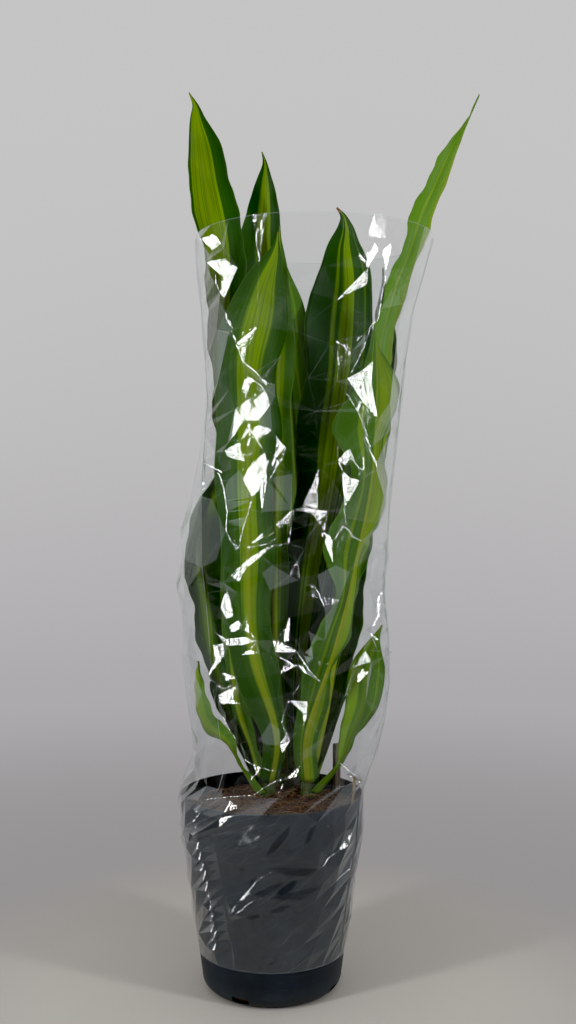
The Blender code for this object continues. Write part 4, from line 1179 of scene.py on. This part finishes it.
# Long creases with a narrow lit side: the lamp, a share of the usual width, and the points of each
# crease in the photo's pixels, where width, step and gap are counted too
LIT_WIDTH = 0.85
LIT_STEP = 11.0
LIT_GAP = 1.2
LIT_UNEVEN = (0.5, 1.3)
LIT_CREASES = [
    (LEFT_LAMP, 1.0, [
        [(223, 303), (227, 318), (236, 343), (243, 362), (256, 372), (267, 386)],
        [(245, 376), (255, 381), (266, 390)], [(216, 282), (220, 292), (224, 298)],
        [(249, 424), (250, 430), (241, 440)], [(257, 440), (264, 452), (269, 463)],
        [(286, 449), (280, 462), (270, 478)], [(252, 500), (246, 518), (241, 535)],
        [(209, 462), (219, 473), (224, 490), (227, 512), (226, 532), (232, 544)],
        [(294, 510), (291, 530), (288, 543), (277, 546)], [(246, 548), (268, 544), (275, 539)],
        [(276, 655), (296, 666), (306, 673)], [(297, 652), (308, 668), (318, 681)],
        [(256, 643), (243, 655)], [(240, 627), (250, 633), (257, 641)],
        [(210, 680), (224, 690), (232, 684)], [(222, 672), (227, 681)],
    ]),
    (RIGHT_LAMP, 1.0, [
        [(386, 276), (381, 300), (379, 317), (370, 328), (365, 345), (358, 360), (350, 376)],
        [(347, 393), (356, 409), (364, 425), (370, 448), (374, 463)],
        [(350, 449), (354, 461), (361, 471), (374, 470)], [(364, 457), (363, 470)],
        [(339, 462), (343, 473)], [(344, 508), (346, 526), (352, 536), (361, 541)],
        [(296, 509), (312, 513), (325, 530)], [(345, 524), (334, 540)],
        [(380, 592), (378, 612), (374, 628)], [(298, 562), (299, 578)],
        [(314, 585), (320, 596), (325, 609)], [(362, 669), (367, 673)],
    ]),
    (LEFT_LAMP, 1.0, [[(297, 561), (290, 576)]]),
    (LEFT_LAMP, 0.55, [
        [(300, 684), (290, 700), (284, 712), (282, 724), (290, 741)],
        [(200, 800), (222, 797), (252, 795), (276, 781), (297, 776)],
        [(204, 802), (196, 832), (203, 860), (209, 890), (215, 920), (217, 950)],
        [(222, 716), (232, 734), (246, 752)],
    ]),
    (RIGHT_LAMP, 1.0, [[(346, 766), (356, 782)]]),
    (LEFT_LAMP, 0.55, [[(244, 760), (262, 768), (280, 772)]]),
    (RIGHT_LAMP, 0.55, [
        [(346, 845), (330, 856), (322, 866)], [(347, 868), (337, 880)],
    ]),
    (LEFT_LAMP, 0.55, [[(258, 880), (240, 900), (228, 918)]]),
    (LEFT_LAMP, 0.7, [
        [(238, 847), (247, 831), (254, 825)], [(236, 914), (249, 903)],
    ]),
]

# Where the film clings to the damp pot and shows it dark, by corners in the photo's pixels
CLINGING_CLEAR = 0.002
CLINGING = [
    [(264, 858), (272, 843), (290, 825), (288, 836), (277, 849)],
    [(260, 873), (272, 866), (317, 868), (305, 876), (284, 875), (272, 871)],
    [(248, 881), (258, 876), (251, 886)],
    [(252, 894), (262, 889), (287, 880), (276, 889), (262, 898)],
    [(270, 897), (297, 891), (321, 885), (303, 900), (285, 901)],
    [(267, 913), (278, 906), (292, 905), (280, 913)],
    [(246, 916), (258, 913), (261, 917), (251, 920)],
    [(303, 846), (309, 829), (317, 822), (309, 842)], [(238, 870), (240, 864), (247, 871)],
]

# Where the film lies double: how much it greys, and the corners of the folded layer in the photo's
# pixels. The film is greyed a little over the whole pot and at its hems
FILM_ON_POT_GREY = 0.014
HEM_GREY = 0.05
DOUBLED_CLEAR = 0.003
DOUBLED = [
    (0.050, [(262, 512), (292, 474), (296, 508), (272, 527)]),
    (0.050, [(296, 508), (292, 474), (341, 508)]),
    (0.045, [(262, 573), (298, 561), (298, 580), (270, 590)]),
    (0.060, [(298, 582), (315, 590), (317, 640), (305, 652)]),
    (0.035, [(184, 560), (190, 500), (212, 500), (216, 560)]),
    (0.035, [(184, 560), (216, 560), (212, 600), (196, 640)]),
    (0.060, [(217, 330), (224, 310), (240, 350), (230, 390), (219, 380)]),
    (0.055, [(248, 400), (275, 385), (272, 430), (258, 425)]),
    (0.060, [(354, 350), (364, 335), (380, 330), (374, 362)]),
    (0.060, [(228, 480), (240, 470), (250, 500), (240, 545), (228, 520)]),
    (0.140, [(303, 664), (306, 650), (312, 646), (313, 658), (308, 672)]),
    (0.055, [(318, 575), (350, 572), (340, 600), (325, 640)]),
    (0.050, [(240, 700), (300, 684), (290, 700), (236, 716)]),
    (0.050, [(214, 712), (280, 730), (280, 745), (226, 724)]),
    (0.050, [(344, 830), (352, 828), (344, 912), (336, 905)]),
    (0.060, [(186, 798), (206, 786), (232, 800), (226, 812), (196, 808)]),
    (0.050, [(240, 806), (262, 797), (284, 810), (262, 813)]),
    (0.050, [(316, 803), (338, 786), (358, 790), (352, 802), (334, 808)]),
]

# Punched vents, in degrees from +X and in height, each with a ring round its hole
VENTS = [(283.4, 0.824), (283.4, 0.676), (283.4, 0.528), (103.4, 0.824), (103.4, 0.676), (103.4, 0.528)]
VENT_RADIUS = 0.0034
VENT_RIM = 0.0012
VENT_SIDES = 14
VENT_HOLE_RADIUS = VENT_RADIUS * 0.9


def sleeve_row(z):
    """Middle, half width and half depth of the sleeve at a height."""
    heights = [row[0] for row in SLEEVE_ROWS]
    return [float(np.interp(z, heights, [row[column] for row in SLEEVE_ROWS])) for column in (1, 2, 3)]


def sleeve_place(distance, z, push):
    """Point of the sleeve by its place on the unrolled film, pushed outwards by a distance."""
    turn = distance / UNROLL_RADIUS
    middle, half_width, half_depth = sleeve_row(z)
    return Vector((middle + (half_width + push) * cos(turn), (half_depth + push) * sin(turn), z))


def seen_at(across, down):
    """Place on the unrolled film of a point in the photo, on the sleeve's front."""
    y = -sleeve_row(PHOTO_FROM[2])[2]
    for _ in range(SIGHT_ROUNDS):
        depth = y - PHOTO_FROM[1]
        x = PHOTO_FROM[0] + (across - PHOTO_MIDDLE[0]) * depth / PHOTO_FOCAL
        z = PHOTO_FROM[2] + (PHOTO_MIDDLE[1] - down) * depth / PHOTO_FOCAL
        middle, half_width, half_depth = sleeve_row(z)
        sideways = max(-SIGHT_SIDEWAYS, min(SIGHT_SIDEWAYS, (x - middle) / half_width))
        y = -half_depth * math.sqrt(1 - sideways ** 2)
    turn = math.atan2(y / half_depth, sideways) % (2 * pi)
    return turn * UNROLL_RADIUS, z


def seen_outline(pixels):
    """Outline on the unrolled film of a shape in the photo."""
    return [seen_at(across, down) for across, down in pixels]


def inside(outline, distance, z):
    """True for a place within an outline drawn on the unrolled film."""
    crossed = False
    for (x0, z0), (x1, z1) in zip(outline, outline[1:] + outline[:1]):
        if (z0 > z) != (z1 > z) and distance < x0 + (z - z0) * (x1 - x0) / (z1 - z0):
            crossed = not crossed
    return crossed


def facet_pushes(outline, lamp):
    """How far each corner of a facet stands out, so that the facet mirrors a lamp towards the place
    that the photo was taken from."""
    corners = [sleeve_place(distance, z, 0.0) for distance, z in outline]
    middle = sum(corners, Vector()) / len(corners)
    to_eye = (Vector(PHOTO_FROM) - middle).normalized()
    to_lamp = (Vector(lamp) - middle).normalized()
    facing = (to_eye + to_lamp).normalized()
    pushes = []
    for (distance, _), corner in zip(outline, corners):
        turn = distance / UNROLL_RADIUS
        out = Vector((cos(turn), sin(turn), 0.0))
        push = (middle - corner).dot(facing) / out.dot(facing)
        pushes.append(max(-STEEPEST_PUSH, min(STEEPEST_PUSH, push)))
    return pushes


def slant(z):
    """How far round the film's wrinkles are drawn on the pot, where it was pulled up askew."""
    return SLANT_SLOPE * (min(z, SLANT_TO_Z) - SLANT_TO_Z)


def spacing_at(distance, z):
    """Distance between creases, and how deep they are, at a place on the unrolled film."""
    if z < ON_POT_TO_Z:
        return ON_POT_SPACING, ON_POT_DEPTH
    spacing, depth = FILM_SPACING, FILM_DEPTH
    if z > MOUTH_CALM_FROM_Z:
        depth = FILM_DEPTH / 3
    for degrees, height, reach, small, deep in CRUMPLES:
        turned = (distance - radians(degrees) * UNROLL_RADIUS + GIRTH / 2) % GIRTH
        away = math.hypot(turned - GIRTH / 2, z - height) / reach
        if away < 1 and small < spacing:
            spacing, depth = small, deep
    return spacing, depth


def walk(points, step):
    """Even steps along a line of (degrees, height) points, as (distance round, height)."""
    line = np.array([(radians(degrees) * UNROLL_RADIUS, height) for degrees, height in points])
    legs = np.linalg.norm(np.diff(line, axis=0), axis=1)
    travelled = np.concatenate(([0.0], np.cumsum(legs)))
    count = max(2, round(travelled[-1] / step))
    marks = np.linspace(0.0, travelled[-1], count + 1)
    return np.column_stack([np.interp(marks, travelled, line[:, axis]) for axis in range(2)])


class FilmPlan:
    """The unrolled film. Its spots are [distance round, height, push], its creases join two spots,
    and its outlines are (corners, spots that move together, greyness). No random spot is put within
    an outline."""

    def __init__(self):
        self.spots = []
        self.cells = {}
        self.creases = []
        self.outlines = []

    def put(self, distance, z, push):
        """Add a spot and give its number."""
        distance %= GIRTH
        self.spots.append([distance, z, push])
        self.cells.setdefault((int(distance / CELL), int(z / CELL)), []).append(len(self.spots) - 1)
        return len(self.spots) - 1

    def put_ring(self, outline, pushes):
        """Add spots at an outline's corners, with creases from each to the next."""
        ring = [self.put(distance, z, push) for (distance, z), push in zip(outline, pushes)]
        self.creases += zip(ring, ring[1:] + ring[:1])
        return ring

    def put_mirror(self, outline, lamp):
        """Add a facet that mirrors a lamp."""
        self.outlines.append((outline, self.put_ring(outline, facet_pushes(outline, lamp)), 0.0))

    def near(self, distance, z, reach):
        """True where a spot lies within the reach, which is at most two cells."""
        column, row = int(distance / CELL), int(z / CELL)
        columns = int(GIRTH / CELL) + 1
        for i in range(-2, 3):
            for j in range(-2, 3):
                for index in self.cells.get(((column + i) % columns, row + j), ()):
                    other, height, _ = self.spots[index]
                    off = abs(other - distance)
                    if math.hypot(min(off, GIRTH - off), height - z) < reach:
                        return True
        return False

    def covered(self, distance, z):
        """True within an outline."""
        return any(inside(outline, distance, z) for outline, _, _ in self.outlines)

    def points(self):
        """All spots in their places round the plant."""
        return [sleeve_place(*spot) for spot in self.spots]


def plan_hems(plan):
    """Two even rows of spots along the film's foot, and two along its mouth."""
    for height in (LOW_Z, LOW_Z + HEM, HIGH_Z - HEM, HIGH_Z):
        count = round(GIRTH / HEM_STEP)
        for step in range(count):
            plan.put(GIRTH * step / count, height, 0.0)


def plan_vents(plan):
    """Two circles round each vent: its edge and the ring that the punch pressed round it."""
    for degrees, height in VENTS:
        middle = radians(degrees) * UNROLL_RADIUS
        for radius in (VENT_RADIUS, VENT_RADIUS + VENT_RIM):
            circle = [(middle + radius * cos(turn), height + radius * sin(turn))
                      for turn in np.linspace(0, 2 * pi, VENT_SIDES, endpoint=False)]
            plan.put_ring(circle, [0.0] * VENT_SIDES)


def plan_flashes(plan):
    """Flat facets, each tilted to mirror its lamp."""
    for lamp, facets in FLASHES:
        for pixels in facets:
            plan.put_mirror(seen_outline(pixels), lamp)


def plan_clinging(plan):
    """Outlines that lie flat on the damp pot."""
    for pixels in CLINGING:
        outline = [(distance, z) for distance, z in seen_outline(pixels)
                   if not plan.near(distance, z, CLINGING_CLEAR)]
        if len(outline) > 2:
            plan.put_ring(outline, [0.0] * len(outline))
            plan.outlines.append((outline, [], 0.0))


def lit_outlines(points, width, draw):
    """Outlines of a row of narrow facets along a crease in the photo, of uneven width."""
    for (across, down), (next_across, next_down) in zip(points, points[1:]):
        length = math.hypot(next_across - across, next_down - down)
        right, under = (next_across - across) / length, (next_down - down) / length
        pieces = max(1, round(length / LIT_STEP))
        for piece in range(pieces):
            start = length * piece / pieces + LIT_GAP / 2
            end = length * (piece + 1) / pieces - LIT_GAP / 2
            first, last = [width / 2 * draw.uniform(*LIT_UNEVEN) for _ in range(2)]
            yield seen_outline([
                (across + right * run - under * aside, down + under * run + right * aside)
                for run, aside in ((start, first), (end, last), (end, -last), (start, -first))])


def plan_lit_creases(plan, draw):
    """The lit sides of bright creases, where no flash lies and above the film's hem."""
    for lamp, breadth, creases in LIT_CREASES:
        for points in creases:
            for outline in lit_outlines(points, LIT_WIDTH * breadth, draw):
                free = not any(plan.covered(distance, z) for distance, z in outline)
                if free and min(z for _, z in outline) >= LOW_Z + CREASE_MARGIN:
                    plan.put_mirror(outline, lamp)


def plan_doubled(plan, draw):
    """Folded layers: loose spots at their corners, and no crease from one to the next."""
    for grey, pixels in DOUBLED:
        outline = [(distance, z) for distance, z in seen_outline(pixels)
                   if not plan.near(distance, z, DOUBLED_CLEAR)]
        if len(outline) > 2:
            for distance, z in outline:
                plan.put(distance, z, draw.uniform(-FILM_DEPTH / 2, FILM_DEPTH / 2))
            plan.outlines.append((outline, [], grey))


def plan_folds(plan, draw):
    """Long creases, and seams of three lines each: the weld's two feet and its crest between them."""
    lines = [(points, SEAM_STAND, (-SEAM_FOOT, 0.0, SEAM_FOOT)) for points in SEAMS]
    lines += [(points, stand, (0.0,)) for points, stand in FOLDS]
    for points, stand, offsets in lines:
        line = walk(points, FOLD_STEP)
        heading = unit(np.gradient(line, axis=0))
        for offset in offsets:
            row = []
            for (distance, z), (ahead, up) in zip(line, heading):
                push = stand * draw.uniform(*FOLD_UNEVEN) if offset == 0.0 else 0.0
                distance, z = distance - up * offset, z + ahead * offset
                free = not plan.near(distance, z, FOLD_CLEAR) and not plan.covered(distance, z)
                if free and LOW_Z + CREASE_MARGIN < z < HIGH_Z - CREASE_MARGIN:
                    row.append(plan.put(distance, z, push))
                else:
                    row.append(None)
            plan.creases += [pair for pair in zip(row, row[1:]) if None not in pair]


def plan_rest(plan, draw):
    """Spots put at random, no nearer to each other than the spacing, until no more find room."""
    misses = 0
    while misses < MOST_MISSES:
        distance, z = draw.uniform(0, GIRTH), draw.uniform(LOW_Z, HIGH_Z)
        spacing, depth = spacing_at(distance, z)
        if (plan.near(distance, z, spacing) or min(z - LOW_Z, HIGH_Z - z) < RANDOM_MARGIN
                or plan.covered(distance, z)):
            misses += 1
            continue
        misses = 0
        if z < ON_POT_TO_Z:
            push = depth * max(0.0, draw.uniform(-0.5, 1.0))
        else:
            push = draw.uniform(-depth, depth)
        plan.put(distance, z, push)


def in_vent(distance, z):
    """True within the hole of a vent."""
    return any(math.hypot(distance - radians(degrees) * UNROLL_RADIUS, z - height) < VENT_HOLE_RADIUS
               for degrees, height in VENTS)


def facets_of(plan):
    """The plan's spots joined into flat facets along its creases. They are drawn with copies of the
    film at both sides, so that it closes round the plant."""
    places, origin, where = [], [], {}
    for shift in (-GIRTH, 0.0, GIRTH):
        for index, (distance, z, _) in enumerate(plan.spots):
            moved = distance + shift
            if -COPY_REACH < moved < GIRTH + COPY_REACH:
                where[index, shift] = len(places)
                places.append(Vector((moved - slant(z), z)))
                origin.append(index)
    kept = []
    for a, b in plan.creases:
        apart = plan.spots[b][0] - plan.spots[a][0]
        wrap = -GIRTH if apart > GIRTH / 2 else GIRTH if apart < -GIRTH / 2 else 0.0
        for shift in (-GIRTH, 0.0, GIRTH):
            if (a, shift) in where and (b, shift + wrap) in where:
                kept.append((where[a, shift], where[b, shift + wrap]))
    corners, _, faces, sources, _, _ = delaunay_2d_cdt(places, kept, [], 0, 1e-6)
    crossings = []

    def spot_at(corner):
        """The spot at a corner of the drawing. Where two creases cross, a new one is made."""
        if sources[corner]:
            return origin[sources[corner][0]]
        z = corners[corner].y
        distance = (corners[corner].x + slant(z)) % GIRTH
        for index in crossings:
            if math.hypot(plan.spots[index][0] - distance, plan.spots[index][1] - z) < SAME_SPOT:
                return index
        nearest = min(plan.spots, key=lambda spot: math.hypot(spot[0] - distance, spot[1] - z))
        plan.spots.append([distance, z, nearest[2]])
        crossings.append(len(plan.spots) - 1)
        return crossings[-1]

    facets = []
    for face in faces:
        middle = sum(corners[corner].x + slant(corners[corner].y) for corner in face) / 3
        height = sum(corners[corner].y for corner in face) / 3
        if 0.0 <= middle < GIRTH and not in_vent(middle, height):
            facets.append([spot_at(corner) for corner in face])
    return facets


def clings(distance, z):
    """True where the wet film is drawn tight against the pot's front."""
    turn = math.degrees(distance / UNROLL_RADIUS)
    return CLING_FROM < turn < CLING_TO and CLING_LOW_Z < z < CLING_HIGH_Z


def lift_clear(plan, facets):
    """Push spots outwards, a step at a time, until no facet runs through a leaf or the pot.
    A facet that mirrors a lamp moves as a whole."""
    leaf_points, leaf_faces = [], []
    for leaf in leaves:
        start = len(leaf_points)
        leaf_points += [vertex.co.copy() for vertex in leaf.data.vertices]
        leaf_faces += [[start + corner for corner in face.vertices] for face in leaf.data.polygons]
    plant = BVHTree.FromPolygons(leaf_points, leaf_faces)
    pot_skin = BVHTree.FromPolygons([vertex.co for vertex in pot.data.vertices],
                                    [face.vertices for face in pot.data.polygons])
    for _ in range(LIFT_ROUNDS):
        film = BVHTree.FromPolygons(plan.points(), facets)
        struck = {corner for face, _ in film.overlap(plant) for corner in facets[face]}
        struck |= {corner for face, _ in film.overlap(pot_skin) for corner in facets[face]
                   if not clings(*plan.spots[corner][:2])}
        if not struck:
            break
        for _, ring, _ in plan.outlines:
            if struck & set(ring):
                struck |= set(ring)
        for corner in struck:
            plan.spots[corner][2] += LIFT


def greyness(plan, facet):
    """How much a facet is greyed: at the hems, over the pot and where the film is doubled."""
    distances = [plan.spots[corner][0] for corner in facet]
    if max(distances) - min(distances) > GIRTH / 2:
        return 0.0
    middle = sum(distances) / 3
    height = sum(plan.spots[corner][1] for corner in facet) / 3
    bare = FILM_ON_POT_GREY if height < POT_HEIGHT else 0.0
    if not LOW_Z + HEM <= height <= HIGH_Z - HEM:
        bare = HEM_GREY
    folded = [grey for outline, _, grey in plan.outlines if inside(outline, middle, height)]
    return max(folded, default=bare)


def make_film():
    """Crumpled film sleeve: flat facets between creases, a narrow bevel along each crease, and hems."""
    draw = random.Random(FILM_SEED)
    plan = FilmPlan()
    plan_hems(plan)
    plan_vents(plan)
    plan_flashes(plan)
    plan_clinging(plan)
    plan_lit_creases(plan, draw)
    plan_doubled(plan, draw)
    plan_folds(plan, draw)
    plan_rest(plan, draw)
    facets = facets_of(plan)
    lift_clear(plan, facets)

    mesh = bpy.data.meshes.new("film")
    mesh.from_pydata(plan.points(), [], facets)
    doubled = mesh.attributes.new("doubled_film", "FLOAT", "FACE")
    for value, facet in zip(doubled.data, facets):
        value.value = greyness(plan, facet)
    film = bpy.data.objects.new("crinkled_film_sleeve", mesh)
    bpy.context.scene.collection.objects.link(film)
    film.data.materials.append(clear_film)
    film.data.materials.append(creased_film)
    take(film)
    edit_all()
    bpy.ops.mesh.delete_loose()
    close_outwards()
    rounded = film.modifiers.new("Rounded creases", "BEVEL")
    rounded.width = FILM_CREASE / 2
    rounded.segments = 1
    rounded.limit_method = "ANGLE"
    rounded.angle_limit = CREASE_ANGLE
    rounded.material = 1
    thick = film.modifiers.new("Film thickness", "SOLIDIFY")
    thick.thickness = FILM_THICKNESS
    thick.offset = 1.0
    apply_modifiers(film)
    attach(film, "root")
    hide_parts("film_sleeve")


make_film()


# ---------------------------------------------------------------- studio

FLOOR_WIDTH = 16.0
FLOOR_FRONT_Y = -8.0
FLOOR_BACK_Y = 3.2
SWEEP_RADIUS = 1.6
SWEEP_STEPS = 16
WALL_RISE = 4.0


def make_floor():
    """Seamless backdrop: a floor that rises in a wide sweep into a wall far behind the plant."""
    start_clear()
    bpy.ops.mesh.primitive_plane_add(size=1.0)
    floor = settle(bpy.context.object, "studio_floor", studio_paint_and_painted_glow)
    points = read_points(floor)
    points[:, 0] *= FLOOR_WIDTH
    points[:, 1] = np.where(points[:, 1] < 0, FLOOR_FRONT_Y, FLOOR_BACK_Y)
    write_points(floor, points)
    bpy.ops.object.mode_set(mode="EDIT")
    bpy.ops.mesh.select_all(action="DESELECT")
    bpy.ops.object.mode_set(mode="OBJECT")
    for vertex in floor.data.vertices:
        vertex.select = vertex.co.y > 0
    for edge in floor.data.edges:
        edge.select = all(floor.data.vertices[corner].select for corner in edge.vertices)
    bpy.ops.object.mode_set(mode="EDIT")
    for step in range(SWEEP_STEPS):
        first, last = pi / 2 * step / SWEEP_STEPS, pi / 2 * (step + 1) / SWEEP_STEPS
        back, up = SWEEP_RADIUS * (sin(last) - sin(first)), SWEEP_RADIUS * (cos(first) - cos(last))
        bpy.ops.mesh.extrude_region_move(TRANSFORM_OT_translate={"value": (0, back, up)})
    bpy.ops.mesh.extrude_region_move(TRANSFORM_OT_translate={"value": (0, 0, WALL_RISE)})
    bpy.ops.object.mode_set(mode="OBJECT")
    floor.data.shade_smooth()


make_floor()


def soft_light(name, place, target, size, power):
    """White soft box of a width and a height, aimed at a point."""
    lamp = bpy.data.lights.new(name, "AREA")
    lamp.shape = "RECTANGLE"
    lamp.size, lamp.size_y = size
    lamp.energy = power
    item = bpy.data.objects.new(name, lamp)
    bpy.context.scene.collection.objects.link(item)
    item.location = place
    item.rotation_euler = (Vector(target) - Vector(place)).to_track_quat("-Z", "Y").to_euler()


STRIP_SIZE = (0.12, 1.00)
soft_light("left_strip", LEFT_LAMP, (0.0, 0.0, 0.55), STRIP_SIZE, 17.0)
soft_light("right_strip", RIGHT_LAMP, (0.05, 0.0, 0.55), STRIP_SIZE, 15.0)
soft_light("overhead", (0.0, -0.2, 2.70), (0.0, 0.2, 0.0), (4.0, 4.0), 44.0)

world = bpy.data.worlds.new("room")
bpy.context.scene.world = world
world.use_nodes = True
daylight = world.node_tree.nodes["Background"]
daylight.inputs["Color"].default_value = linear("#c8c8c8")
daylight.inputs["Strength"].default_value = 0.26

# The camera stands where the photo was taken from, level and straight on
camera_data = bpy.data.cameras.new("camera")
camera_data.sensor_width = 36.0
camera_data.lens = 39.8
camera = bpy.data.objects.new("camera", camera_data)
bpy.context.scene.collection.objects.link(camera)
camera.location = PHOTO_FROM
camera.rotation_euler = (pi / 2, 0.0, 0.0)
bpy.context.scene.camera = camera
view = bpy.context.scene.view_settings
view.view_transform = "Standard"
view.use_curve_mapping = True
view.curve_mapping.black_level = (0.009, 0.009, 0.010)
view.curve_mapping.update()
bpy.context.scene.cycles.transparent_max_bounces = 32
